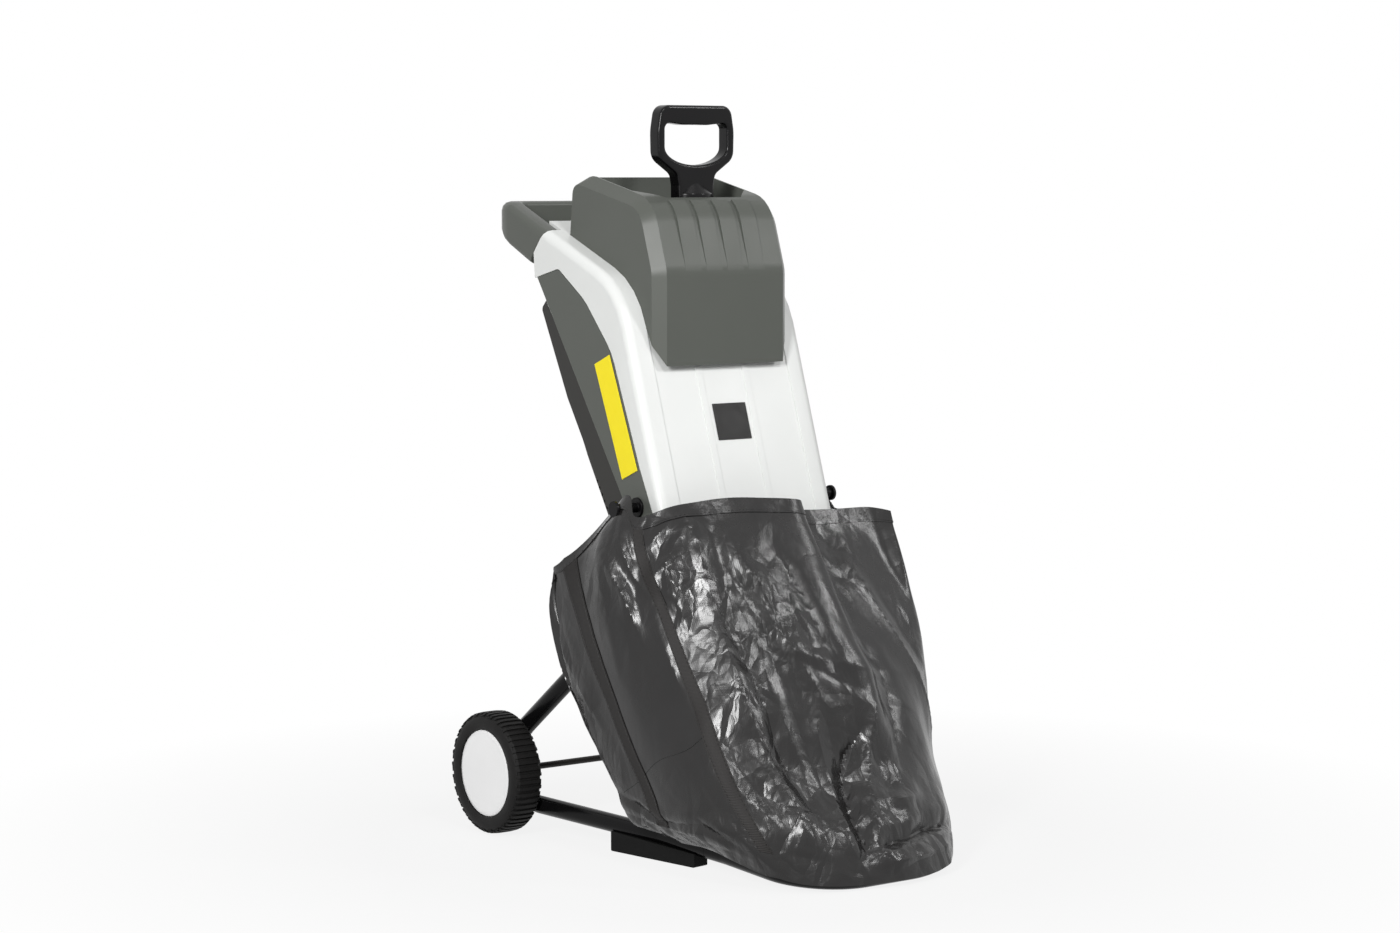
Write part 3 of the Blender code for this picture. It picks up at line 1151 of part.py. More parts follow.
def plunger():
    seam = PLUNGER_SEAM_Z + GAP
    outer = fillet(mirrored(GRIP_OUTLINE + [(GRIP_NECK_HALF, seam, 0.0)]))
    inner = fillet(mirrored(GRIP_HOLE))
    grip = plate("plunger_handle", [outer, inner], -GRIP_DEPTH / 2, GRIP_DEPTH / 2, BLACK, PLUNGER, FRONT_VIEW)

    def is_rim(middle, along):
        return abs(abs(middle.z) - GRIP_DEPTH / 2) < 1e-5 and middle.y > seam + 0.002
    round_edges(grip, GRIP_EDGE, 2, is_rim)
    top, collar = seam + GUSSET_HEIGHT, seam + GUSSET_COLLAR
    profile = [(0, top), (0.003, top), (GUSSET_R, collar), (GUSSET_R, seam), (0, seam)]
    modify(grip, turned("gusset", profile, None, PLUNGER, Matrix.Diagonal((1, GUSSET_SQUASH, 1, 1)), 24), "UNION")
    deep = CHUTE_DEPTH / 2 - RAM_CLEARANCE
    wide = CHUTE_WIDTH / 2 - RAM_CLEARANCE
    shoulder = [(RAM_SHOULDER_HALF, PLUNGER_SEAM_Z, 0.0), (RAM_SHOULDER_HALF, RAM_SHOULDER_Z, 0.002),
                (wide, RAM_SHOULDER_Z - 0.006, 0.002), (wide, RAM_FOOT_Z, 0.004)]
    outline = fillet(mirrored(shoulder))
    return plate("plunger_ram", [outline], -deep, deep, BLACK, PLUNGER, FRONT_VIEW)


# Frame

def side_tube_path(sign):
    corner_y = (STRUT_AT_AXLE_Z - LEG_AT_AXLE_Z) / (STRUT_SLOPE + LEG_SLOPE)
    run = Vector((-1, STRUT_SLOPE)).normalized()
    end_y = STRUT_CLAMP_Y + run.x * STRUT_END
    corners = [((sign * STRUT_X, end_y, strut_z(end_y)), 0),
               ((sign * STRUT_X, STRUT_TOP_BEND_Y, strut_z(STRUT_TOP_BEND_Y)), 0.080),
               ((sign * AXLE_TUBE_X, -0.020, strut_z(-0.020)), 0.0),
               ((sign * AXLE_TUBE_X, corner_y, leg_z(corner_y)), BEND_R),
               ((sign * AXLE_TUBE_X, -0.048, leg_z(-0.048)), 0.0),
               ((sign * LEG_BEND_X, LEG_BEND_Y, leg_z(LEG_BEND_Y)), LEG_BEND_R),
               ((sign * LEG_JOINT_X, LEG_JOINT_Y, leg_z(LEG_JOINT_Y)), 0)]
    return rounded_path(corners)


def spigot_place(sign):
    """Frame at the joint of the side tube and the front bar, local z forwards along the tube."""
    here = Vector((sign * LEG_JOINT_X, LEG_JOINT_Y, leg_z(LEG_JOINT_Y)))
    bend = Vector((sign * LEG_BEND_X, LEG_BEND_Y, leg_z(LEG_BEND_Y)))
    forward = (here - bend).normalized()
    return Matrix.Translation(here) @ forward.to_track_quat("Z", "X").to_matrix().to_4x4()


def side_tubes():
    def make(name, sign):
        made = tube(f"side_tube_{name}", side_tube_path(sign), TUBE_R, BLACK_PAINT)
        bore = cylinder(f"spigot_bore_{name}", SPIGOT_R + GAP, -SPIGOT_LENGTH - 0.001, 0.01, None, AXLE,
                        spigot_place(sign), 16)
        modify(made, bore)
        hole = cylinder(f"axle_hole_{name}", AXLE_R + GAP, -0.5, 0.5, None, AXLE,
                        Matrix.Translation((0, 0, WHEEL_R)) @ ALONG_X, TINY_ROUND)
        modify(made, hole)
        return modify(made, cylinder(f"strut_hole_{name}", STRUT_BOLT_R + GAP, -0.5, 0.5, None, AXLE,
                                     CLAMP_PLACE @ ALONG_X, TINY_ROUND))
    return both_sides(make)


def front_bar():
    here = Vector((LEG_JOINT_X, LEG_JOINT_Y, leg_z(LEG_JOINT_Y)))
    start = spigot_place(1) @ Vector((0, 0, GAP))
    corner = Vector((BAR_CORNER_X, BAR_Y, TUBE_R))
    second = here + (start - here).normalized() * 0.03
    right = [(tuple(start), 0), (tuple(second), 0.05), (tuple(corner), BAR_CORNER_R)]
    left = [((-x, y, z), r) for (x, y, z), r in reversed(right)]
    bar = tube("front_bar", rounded_path(right + left), TUBE_R, BLACK_PAINT)
    for name, sign in (("left", -1), ("right", 1)):
        spigot = cylinder(f"spigot_{name}", SPIGOT_R, -SPIGOT_LENGTH, 0.006, None, AXLE, spigot_place(sign), 16)
        modify(bar, spigot, "UNION")
    return bar


def feet():
    def make(name, sign):
        front_y, back_y = FOOT_MIDDLE_Y - FOOT_LENGTH / 2, FOOT_MIDDLE_Y + FOOT_LENGTH / 2

        def leg_x(y):
            if y > LEG_BEND_Y:
                return LEG_BEND_X + (AXLE_TUBE_X - LEG_BEND_X) * (y - LEG_BEND_Y) / (-0.048 - LEG_BEND_Y)
            return LEG_BEND_X + (LEG_JOINT_X - LEG_BEND_X) * (y - LEG_BEND_Y) / (LEG_JOINT_Y - LEG_BEND_Y)
        def top_z(y):
            return leg_z(FOOT_MIDDLE_Y + y) - TUBE_R + FOOT_WRAP
        yaw = -atan2(leg_x(back_y) - leg_x(front_y), back_y - front_y) * sign
        centre = (sign * (leg_x(front_y) + leg_x(back_y)) / 2, FOOT_MIDDLE_Y, 0.0)
        half = FOOT_LENGTH / 2
        outline = [(-half, 0.0, 0.002), (-half, top_z(-half), 0.0), (half, top_z(half), 0.0), (half, 0.0, 0.002)]
        foot = plate(f"foot_{name}", [fillet(outline)], -FOOT_WIDTH / 2, FOOT_WIDTH / 2, RUBBER)
        foot.matrix_basis = Matrix.Translation(centre) @ Matrix.Rotation(yaw, 4, "Z") @ foot.matrix_basis
        round_edges(foot, FOOT_CORNER_R, 2, lambda middle, along: abs(along.y) > 2 * FOOT_WRAP and abs(along.z) < 1e-5)
        groove = tube(f"foot_groove_{name}", side_tube_path(sign), TUBE_R + GAP, None)
        return modify(foot, groove)
    return both_sides(make)


def strut_bolts():
    out, tip = STRUT_X + TUBE_R + GAP, STRUT_X - TUBE_R - STRUT_BOLT_DEPTH
    profile = [(0, out + STRUT_BOLT_HEAD), (STRUT_BOLT_HEAD_R, out + STRUT_BOLT_HEAD), (STRUT_BOLT_HEAD_R, out),
               (STRUT_BOLT_R, out), (STRUT_BOLT_R, tip), (0, tip)]

    def make(name, sign):
        place = CLAMP_PLACE @ Matrix.Rotation(sign * pi / 2, 4, "Y")
        return turned(f"strut_bolt_{name}", profile, STEEL, AXLE, place, TINY_ROUND)
    return both_sides(make)


# Wheels

def tread_outline():
    points = []
    pitch = 2 * pi / TREAD_RIBS
    for k in range(TREAD_RIBS):
        middle = -pi / 2 + k * pitch
        for turn, radius in ((-0.30, WHEEL_R), (0.30, WHEEL_R), (0.38, WHEEL_R - TREAD_DEPTH),
                             (0.62, WHEEL_R - TREAD_DEPTH)):
            angle = middle + turn * pitch
            points.append((radius * cos(angle), radius * sin(angle)))
    return points


def circle(radius, count):
    return [(radius * cos(2 * pi * k / count), radius * sin(2 * pi * k / count)) for k in range(count)]


def wheels():
    cylinder_length = WHEEL_OUT - CAP_INSET - CAP_THICKNESS
    axle = cylinder("axle", AXLE_R, -cylinder_length + 0.0015, cylinder_length - 0.0015, STEEL, AXLE,
                    Matrix.Translation((0, 0, WHEEL_R)) @ ALONG_X, SMALL_ROUND)
    for name, parent, sign in (("left", WHEEL_LEFT, -1), ("right", WHEEL_RIGHT, 1)):
        outwards = Matrix.Rotation(sign * pi / 2, 4, "Y")
        middle = WHEEL_OUT - WHEEL_WIDTH / 2
        facing = SIDE_VIEW
        low, high = (middle - WHEEL_WIDTH / 2, middle + WHEEL_WIDTH / 2)
        if sign < 0:
            low, high = -high, -low
        tyre = plate(f"wheel_tyre_{name}", [tread_outline(), circle(TYRE_BORE_R, ROUND)], low, high, TYRE,
                     parent, facing)
        for face, at in (("out", WHEEL_OUT), ("in", WHEEL_IN)):
            inward = -1 if face == "out" else 1
            wide = WHEEL_R + 0.02
            ring_low, ring_high = sorted((at - inward * 0.001, at + inward * TYRE_SHOULDER))
            slope = TYRE_SHOULDER + 0.001
            if face == "out":
                profile = [(wide, ring_high), (wide, ring_low), (WHEEL_R, ring_low), (WHEEL_R - slope, ring_high)]
            else:
                profile = [(wide, ring_high), (wide, ring_low), (WHEEL_R - slope, ring_low), (WHEEL_R, ring_high)]
            shoulder = turned(f"tyre_shoulder_{face}_{name}", profile, None, parent, outwards, 96)
            modify(tyre, shoulder)
        rim_r = TYRE_BORE_R - GAP
        cap_foot = WHEEL_OUT - CAP_INSET - CAP_THICKNESS
        rim_top, rim_foot = cap_foot - GAP, WHEEL_IN + 0.0015
        sleeve_foot, sleeve_top = AXLE_TUBE_X + TUBE_R + 0.0006, cap_foot - RETAINER_THICKNESS - 0.003
        web = WHEEL_OUT - WHEEL_WIDTH * 0.55
        inner = rim_r - HUB_RIM_WALL
        bore = AXLE_R + GAP
        profile = [(bore, sleeve_top), (HUB_SLEEVE_R, sleeve_top), (HUB_SLEEVE_R, web + HUB_WEB),
                   (inner, web + HUB_WEB), (inner, rim_top), (rim_r, rim_top), (rim_r, rim_foot),
                   (inner, rim_foot), (inner, web), (HUB_SLEEVE_R, web), (HUB_SLEEVE_R, sleeve_foot),
                   (bore, sleeve_foot)]
        turned(f"wheel_hub_{name}", profile, CAP_WHITE, parent, outwards)
        cap_top = WHEEL_OUT - CAP_INSET
        profile = [(0, cap_top), (rim_r - 0.006, cap_top), (rim_r, cap_top - 0.0015), (rim_r, cap_foot), (0, cap_foot)]
        turned(f"hub_cap_{name}", profile, CAP_WHITE, parent, outwards)
        retainer_foot = sleeve_top + GAP
        ring(f"axle_retainer_{name}", RETAINER_R, AXLE_R + GAP, retainer_foot,
             retainer_foot + RETAINER_THICKNESS, STEEL, AXLE,
             Matrix.Translation((0, 0, WHEEL_R)) @ outwards, SMALL_ROUND)
    return axle


# Controls

def controls():
    wide, tall, thick = SWITCH_SIZE
    body = block("switch_box", SWITCH_SIZE, (0, 0, GAP + thick / 2), BLACK, SWITCH)
    round_edges(body, 0.003, 2, lambda middle, along: middle.z > thick / 2 - 1e-5 or abs(along.z) > thick / 2)
    rocker_wide, rocker_tall, rocker_thick = ROCKER_SIZE
    rocker_y = -0.016
    well = (rocker_wide + 0.001, rocker_tall + 0.002, 2 * ROCKER_WELL)
    modify(body, block("rocker_well", well, (0, rocker_y, GAP + thick), None, SWITCH))
    place = Matrix.Translation((0, RESET_Y, 0))
    reset_foot = thick - 0.008
    modify(body, cylinder("reset_well", RESET_R + GAP, GAP + reset_foot, GAP + thick + 0.01, None, SWITCH, place))
    pivot_z = GAP + thick - 0.003
    off = Matrix.Rotation(-radians(ROCKER_TURN), 4, "X")
    rocker_datum = datum("rocker_datum", Matrix.Translation((0, rocker_y, pivot_z)) @ off, SWITCH)
    flank = rocker_tall / 2
    crown = 0.0045
    outline = [(-flank, crown + 0.001), (0, crown - 0.0015), (flank, crown + 0.001), (flank - 0.001, -0.001),
               (0, -0.0055), (-flank + 0.001, -0.001)]
    plate("switch_rocker", [outline], -rocker_wide / 2, rocker_wide / 2, GREEN, rocker_datum, SIDE_VIEW)
    button_datum = datum("reset_datum", place, SWITCH)
    button_foot = GAP + reset_foot + RESET_STROKE + GAP
    cylinder("reset_button", RESET_R, button_foot, GAP + thick + RESET_STROKE + 0.001, RED, button_datum)
    inlet_place = Matrix.Translation((0, tall / 2 + 0.003 + GAP, GAP + INLET_R + 0.001)) \
        @ Matrix.Rotation(-pi / 2, 4, "X")
    profile = [(INLET_R - INLET_WALL, INLET_LENGTH), (INLET_R, INLET_LENGTH), (INLET_R, -0.003), (0, -0.003),
               (0, 0.002), (INLET_R - INLET_WALL, 0.002)]
    inlet = turned("mains_inlet", profile, BLACK, SWITCH, inlet_place, 32)
    for k, (x, y) in enumerate(((-PIN_SPACING, 0), (PIN_SPACING, 0), (0, PIN_SPACING * 0.8))):
        pin_place = inlet_place @ Matrix.Translation((x, y, 0))
        pin = cylinder(f"inlet_pin_{k + 1}", PIN_R, 0.001, INLET_LENGTH - 0.008, None, SWITCH, pin_place,
                       TINY_ROUND)
        modify(inlet, pin, "UNION")
    lobes = []
    for k in range(KNOB_LOBES * 6):
        angle = 2 * pi * k / (KNOB_LOBES * 6)
        radius = KNOB_R - 0.0025 * (0.5 - 0.5 * cos(KNOB_LOBES * angle))
        lobes.append((radius * cos(angle), radius * sin(angle)))
    knob = plate("lock_knob", [lobes], 0.0008, KNOB_HEIGHT, BLACK, KNOB, TOP_VIEW)
    modify(knob, cylinder("knob_socket", LOCK_BOLT_R + GAP, -0.01, KNOB_HEIGHT * 0.6, None, KNOB, facets=TINY_ROUND))
    cylinder("lock_bolt", LOCK_BOLT_R, -LOCK_BOLT_LENGTH, KNOB_HEIGHT * 0.6 - GAP, STEEL, KNOB, facets=TINY_ROUND)
    wide, tall, thick = SAFETY_SWITCH
    behind = -COVER_WALL - GAP - thick / 2
    block("safety_switch", SAFETY_SWITCH, (0, tall / 2 + LOCK_BOLT_R + 0.002, behind), BLACK, SEAM)


# Small trim

def plates():
    face = FRONT_V + PANEL_RECESS - GAP - PLATE_THICKNESS / 2
    block("name_plate", (PLATE_SIZE[0], PLATE_THICKNESS, PLATE_SIZE[1]), (0, face, PLATE_U), PLATE_BLACK, TOWER)
    x = -BODY_HALF - GAP - PLATE_THICKNESS / 2
    turn = Matrix.Rotation(-STRIP_LABEL_LEAN, 4, "X")
    block("label_strip", (PLATE_THICKNESS, STRIP_LABEL_WIDTH, STRIP_LABEL_LENGTH), (x, *STRIP_LABEL_MIDDLE),
          YELLOW, AXLE, turn)


def bag_hooks():
    foot = BODY_HALF + GAP
    profile = [(0, HOOK_OUT), (HOOK_HEAD_R, HOOK_OUT), (HOOK_HEAD_R, HOOK_OUT - HOOK_HEAD),
               (HOOK_STEM_R, HOOK_OUT - HOOK_HEAD), (HOOK_STEM_R, foot + HOOK_BASE), (HOOK_BASE_R, foot + HOOK_BASE),
               (HOOK_BASE_R, foot), (0, foot)]

    def make(name, sign):
        place = Matrix.Translation((0, HOOK_Y, HOOK_Z)) @ Matrix.Rotation(sign * pi / 2, 4, "Y")
        return turned(f"bag_hook_{name}", profile, BLACK, AXLE, place, SMALL_ROUND)
    return both_sides(make)


# Collection bag

def closed_curve(points):
    """Smooth closed ring through a level's points."""
    points = [Vector(p) for p in points]
    count = len(points)
    ring_points = []
    for i in range(count):
        p0, p1, p2, p3 = (points[(i + k - 1) % count] for k in range(4))
        for k in range(BAG_STEPS):
            t = k / BAG_STEPS
            ring_points.append(0.5 * (2 * p1 + (p2 - p0) * t + (2 * p0 - 5 * p1 + 4 * p2 - p3) * t * t
                                      + (3 * p1 - p0 - 3 * p2 + p3) * t * t * t))
    return ring_points


def over_tubes(point):
    """The point, lifted where the frame's tubes would hold the sheet up."""
    lowest = leg_z(point.y) + TUBE_R + 2 * GAP + BAG_SHEET / 2
    return point.x, point.y, max(point.z, lowest)


def collection_bag():
    shape = bmesh.new()
    rings = [[shape.verts.new(over_tubes(p)) for p in closed_curve(level)] for level in BAG_LEVELS]
    count = len(rings[0])
    for upper, lower in zip(rings, rings[1:]):
        for k in range(count):
            ahead = (k + 1) % count
            shape.faces.new((upper[k], upper[ahead], lower[ahead], lower[k]))
    shape.faces.new(rings[-1])
    bmesh.ops.triangulate(shape, faces=shape.faces)
    bmesh.ops.recalc_face_normals(shape, faces=shape.faces)
    mesh = bpy.data.meshes.new("collection_bag")
    shape.to_mesh(mesh)
    shape.free()
    bag = piece("collection_bag", mesh, BAG_BLACK, AXLE, Matrix.Identity(4))
    wall = bag.modifiers.new("sheet", "SOLIDIFY")
    wall.thickness = BAG_SHEET
    wall.offset = 0
    place = Matrix.Translation((0, HOOK_Y, HOOK_Z)) @ ALONG_X
    eyelet = cylinder("bag_eyelets", HOOK_STEM_R + GAP, -0.2, 0.2, None, AXLE, place, SMALL_ROUND)
    return modify(bag, eyelet)


front_shell()
side_panels()
hopper_hood()
feed_chute()
transport_handle()
rear_cover()
motor_cover()
base_plate()
disc_housing()
motor_fixed()
motor_turning()
cutting_gear()
plunger()
side_tubes()
front_bar()
feet()
strut_bolts()
wheels()
controls()
plates()
bag_hooks()
collection_bag()
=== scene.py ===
"""Looks of an electric wood chipper: plastics, tubes, wheels and a hanging collection bag."""

import json
from math import ceil, cos, pi, radians, sin, tan

import bmesh
import bpy
import numpy as np
from mathutils import Matrix, Vector
from mathutils.bvhtree import BVHTree
from mathutils.geometry import delaunay_2d_cdt

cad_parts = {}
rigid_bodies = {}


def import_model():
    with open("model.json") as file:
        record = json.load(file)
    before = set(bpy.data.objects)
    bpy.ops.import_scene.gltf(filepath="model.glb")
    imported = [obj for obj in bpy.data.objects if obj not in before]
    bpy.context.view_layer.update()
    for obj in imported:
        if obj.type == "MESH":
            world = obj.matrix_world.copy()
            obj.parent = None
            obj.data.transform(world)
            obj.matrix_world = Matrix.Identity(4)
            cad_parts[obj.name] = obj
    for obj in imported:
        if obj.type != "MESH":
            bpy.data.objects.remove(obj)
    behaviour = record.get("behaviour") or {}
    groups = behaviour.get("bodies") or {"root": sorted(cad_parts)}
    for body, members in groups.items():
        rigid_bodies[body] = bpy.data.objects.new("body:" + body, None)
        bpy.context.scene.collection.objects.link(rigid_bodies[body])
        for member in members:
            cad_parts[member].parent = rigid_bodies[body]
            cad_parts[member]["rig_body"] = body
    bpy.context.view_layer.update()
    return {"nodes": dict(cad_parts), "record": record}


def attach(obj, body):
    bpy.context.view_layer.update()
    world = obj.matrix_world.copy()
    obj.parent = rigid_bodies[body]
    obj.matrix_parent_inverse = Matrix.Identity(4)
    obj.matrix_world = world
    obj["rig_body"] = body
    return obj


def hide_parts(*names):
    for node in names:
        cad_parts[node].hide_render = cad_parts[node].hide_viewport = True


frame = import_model()
NODES = frame["nodes"]
SLOT_OF = {entry["node"]: entry["material_slot"] for entry in frame["record"]["subparts"]}

AXLE_Y = 0.208
HOUSING_LEAN = radians(18)
MM = 0.001
CLOSE = 0.0001


# Camera and lamps

CAMERA_LENS = 83.57
CAMERA_PLACE = (-2.3875, -3.2971 + AXLE_Y, 0.8093)
CAMERA_TURN = (radians(90 - 5.164), 0, radians(-37.2542))
LIT_POINT = (0, 0, 0.4)
# Place, width, height and power of each softbox.
SOFTBOXES = {
    "left": ((-2.6, -1.6, 1.7), 0.50, 1.1, 84),
    "key": ((-0.5, -2.6, 2.9), 0.55, 0.65, 31),
    "right": ((1.9, -2.0, 2.0), 0.25, 0.8, 18),
    "top": ((0, 0.5, 3.0), 1.6, 1.6, 9),
}


def add_object(name, data, place, turn):
    made = bpy.data.objects.new(name, data)
    bpy.context.scene.collection.objects.link(made)
    made.location = place
    made.rotation_euler = turn
    return made


def place_camera():
    data = bpy.data.cameras.new("camera")
    data.lens = CAMERA_LENS
    data.sensor_width = 36
    data.clip_start = 0.1
    bpy.context.scene.camera = add_object("camera", data, CAMERA_PLACE, CAMERA_TURN)


def add_softbox(name, place, width, height, power):
    data = bpy.data.lights.new(name, "AREA")
    data.shape = "RECTANGLE"
    data.size = width
    data.size_y = height
    data.energy = power
    turn = (Vector(LIT_POINT) - Vector(place)).to_track_quat("-Z", "Y").to_euler()
    add_object(name, data, place, turn)


# Shader maths

class Signal:
    """A shader socket that takes part in Python expressions."""

    def __init__(self, tree, socket):
        self.tree = tree
        self.socket = socket

    def _maths(self, operation, *values):
        step = self.tree.nodes.new("ShaderNodeMath")
        step.operation = operation
        for slot, value in zip(step.inputs, values):
            plug(self.tree, slot, value)
        return Signal(self.tree, step.outputs[0])

    def __add__(self, other):
        return self._maths("ADD", self, other)

    def __sub__(self, other):
        return self._maths("SUBTRACT", self, other)

    def __rsub__(self, other):
        return self._maths("SUBTRACT", other, self)

    def __mul__(self, other):
        return self._maths("MULTIPLY", self, other)

    __radd__ = __add__
    __rmul__ = __mul__

    def clamped(self):
        return self._maths("MAXIMUM", self._maths("MINIMUM", self, 1.0), 0.0)


def plug(tree, slot, value):
    """Links a signal to a socket, or sets the socket's own value."""
    if isinstance(value, Signal):
        tree.links.new(value.socket, slot)
    else:
        slot.default_value = value


# The Mix node's colour sockets share their names with its others, so they go by number.
MIX_FACTOR, MIX_FIRST, MIX_SECOND = 0, 6, 7
MIX_RESULT = 2


class Finish:
    """A procedural material on a Principled shader."""

    def __init__(self, name, roughness, metallic=0.0, specular=0.5):
        self.material = bpy.data.materials.new(name)
        self.material.use_nodes = True
        self.tree = self.material.node_tree
        self.shader = self.tree.nodes["Principled BSDF"]
        self.feed("Roughness", roughness)
        self.feed("Metallic", metallic)
        self.feed("Specular IOR Level", specular)

    def node(self, kind, settings=None, **values):
        """Any node: its settings first, then the values or links of its sockets."""
        made = self.tree.nodes.new(kind)
        for key, value in (settings or {}).items():
            setattr(made, key, value)
        for key, value in values.items():
            plug(self.tree, made.inputs[key], value)
        return made

    def out(self, made, socket=0):
        return Signal(self.tree, made.outputs[socket])

    def feed(self, socket, value):
        plug(self.tree, self.shader.inputs[socket], value)

    def place(self, scale=(1, 1, 1), turn=(0, 0, 0)):
        """Object coordinates, scaled and turned."""
        start = self.node("ShaderNodeTexCoord")
        return self.out(self.node("ShaderNodeMapping", Vector=self.out(start, "Object"), Scale=scale, Rotation=turn))

    def cloud(self, scale, detail=3.0, roughness=0.5, where=None):
        """Noise from 0 to 1 on object coordinates."""
        return self.out(self.node("ShaderNodeTexNoise", Vector=where or self.place(), Scale=scale, Detail=detail,
                                  Roughness=roughness))

    def bands(self, direction, scale, distortion=0.0, turn=(0, 0, 0)):
        """Stripes from 0 to 1 across a direction of the object."""
        made = self.node("ShaderNodeTexWave", {"bands_direction": direction}, Vector=self.place(turn=turn),
                         Scale=scale, Distortion=distortion)
        return self.out(made, "Fac")

    def tint(self, factor, first, second):
        """Lets the base colour wander from first to second."""
        made = self.node("ShaderNodeMix", {"data_type": "RGBA"})
        for index, value in ((MIX_FACTOR, factor), (MIX_FIRST, (*first, 1)), (MIX_SECOND, (*second, 1))):
            plug(self.tree, made.inputs[index], value)
        self.feed("Base Color", self.out(made, MIX_RESULT))

    def relief(self, height, distance, strength, under=None):
        """A bump, over another one where it is given; feeds the shader's normal."""
        below = {"Normal": under} if under else {}
        made = self.node("ShaderNodeBump", Height=height, Distance=distance, Strength=strength, **below)
        normal = self.out(made, "Normal")
        self.feed("Normal", normal)
        return normal


# Finishes of the object

# Moulded plastics: colour, roughness, width and height of the grain in mm, specular level.
PLASTICS = {
    "white_plastic": ((0.745, 0.757, 0.742), 0.34, 1.6, 0.010, 0.3),
    "grey_plastic": ((0.094, 0.100, 0.089), 0.36, 0.9, 0.030, 0.22),
    "black_plastic": ((0.0050, 0.0047, 0.0052), 0.38, 0.9, 0.020, 0.12),
    "glossy_black": ((0.0028, 0.0026, 0.0030), 0.22, 1.4, 0.008, 0.20),
    "cover_plastic": ((0.024, 0.0232, 0.0208), 0.34, 0.9, 0.020, 0.22),
    "cap_plastic": ((0.95, 0.95, 0.95), 0.30, 2.0, 0.006, 0.5),
    "red_key": ((0.50, 0.02, 0.02), 0.32, 1.2, 0.008, 0.5),
    "green_key": ((0.02, 0.26, 0.06), 0.32, 1.2, 0.008, 0.5),
}
SHEEN_SPREAD = 0.06
# Creases in the bag's film, broad and fine: scale, height in mm, strength.
FILM_CREASES = ((27.0, 6.0, 0.8), (80.0, 1.3, 0.6))
FILM_WEAVE = 180.0
DOUBLED_CRUMPLE = 0.55


def moulded(name):
    """Moulded plastic: faint mottling, a fine grain and a slightly uneven gloss."""
    colour, roughness, grain_width, grain_height, specular = PLASTICS[name]
    made = Finish(name, roughness, specular=specular)
    made.tint(made.cloud(9.0, 4.0), tuple(c * 0.93 for c in colour), tuple(min(1.0, c * 1.04) for c in colour))
    made.feed("Roughness", made.cloud(14.0, 5.0) * (2 * SHEEN_SPREAD) + (roughness - SHEEN_SPREAD))
    made.relief(made.cloud(1 / (grain_width * MM), 2.0), grain_height * MM, 0.6)
    return made.material


def dull_black_steel():
    made = Finish("dull_black_steel", 0.45, specular=0.2)
    made.tint(made.cloud(80.0, 4.0), (0.012, 0.011, 0.010), (0.026, 0.024, 0.022))
    return made.material


def black_paint():
    made = Finish("black_paint", 0.20, specular=0.12)
    made.tint(made.cloud(30.0), (0.0030, 0.0030, 0.0034), (0.0055, 0.0052, 0.0055))
    made.feed("Roughness", made.cloud(22.0, 5.0) * 0.12 + 0.14)
    made.relief(made.cloud(420.0, 1.0), 0.02 * MM, 0.5)
    return made.material


def tyre_rubber():
    made = Finish("tyre_rubber", 0.6, specular=0.14)
    made.tint(made.cloud(60.0, 5.0), (0.0060, 0.0058, 0.0058), (0.0125, 0.0120, 0.0117))
    made.feed("Roughness", made.cloud(40.0, 4.0) * 0.25 + 0.45)
    made.relief(made.cloud(900.0, 2.0), 0.03 * MM, 0.7)
    return made.material


def foot_rubber():
    made = Finish("foot_rubber", 0.65, specular=0.1)
    made.tint(made.cloud(90.0, 4.0), (0.0045, 0.0045, 0.0045), (0.0090, 0.0090, 0.0090))
    made.relief(made.cloud(800.0, 2.0), 0.04 * MM, 0.7)
    return made.material


def machined_steel(name, colour, roughness):
    made = Finish(name, roughness, 1.0)
    brushed = made.cloud(160.0, 3.0, where=made.place(scale=(1, 9, 9)))
    made.tint(brushed, tuple(c * 0.8 for c in colour), colour)
    made.feed("Roughness", brushed * 0.2 + (roughness - 0.08))
    made.relief(brushed, 0.01 * MM, 0.5)
    return made.material


def cast_metal():
    made = Finish("cast_metal", 0.5, 1.0)
    made.tint(made.cloud(45.0, 5.0), (0.36, 0.37, 0.38), (0.52, 0.53, 0.54))
    made.feed("Roughness", made.cloud(60.0, 4.0) * 0.2 + 0.42)
    made.relief(made.cloud(700.0, 3.0), 0.05 * MM, 0.8)
    return made.material


def wound_copper():
    made = Finish("wound_copper", 0.38, 1.0)
    wires = made.bands("Z", 330.0, 0.6)
    made.tint(wires, (0.30, 0.10, 0.045), (0.62, 0.27, 0.13))
    made.feed("Roughness", made.cloud(50.0) * 0.2 + 0.3)
    made.relief(wires, 0.2 * MM, 0.8)
    return made.material


def stacked_iron():
    made = Finish("stacked_iron", 0.5, 0.8)
    sheets = made.bands("Z", 300.0, turn=(HOUSING_LEAN, 0, 0))
    made.tint(sheets, (0.10, 0.10, 0.105), (0.23, 0.23, 0.24))
    made.relief(sheets, 0.1 * MM, 0.7)
    return made.material


def pressed_carbon():
    made = Finish("pressed_carbon", 0.7)
    made.tint(made.cloud(500.0), (0.018, 0.018, 0.018), (0.045, 0.045, 0.047))
    made.relief(made.cloud(1500.0), 0.02 * MM, 0.5)
    return made.material


def label_film(name, colour, edge):
    """A blank printed film with faint scuffs."""
    made = Finish(name, 0.36, specular=0.15)
    made.tint(made.cloud(55.0, 6.0), edge, colour)
    made.feed("Roughness", made.cloud(90.0, 5.0) * 0.18 + 0.26)
    made.relief(made.cloud(260.0, 2.0), 0.01 * MM, 0.5)
    return made.material


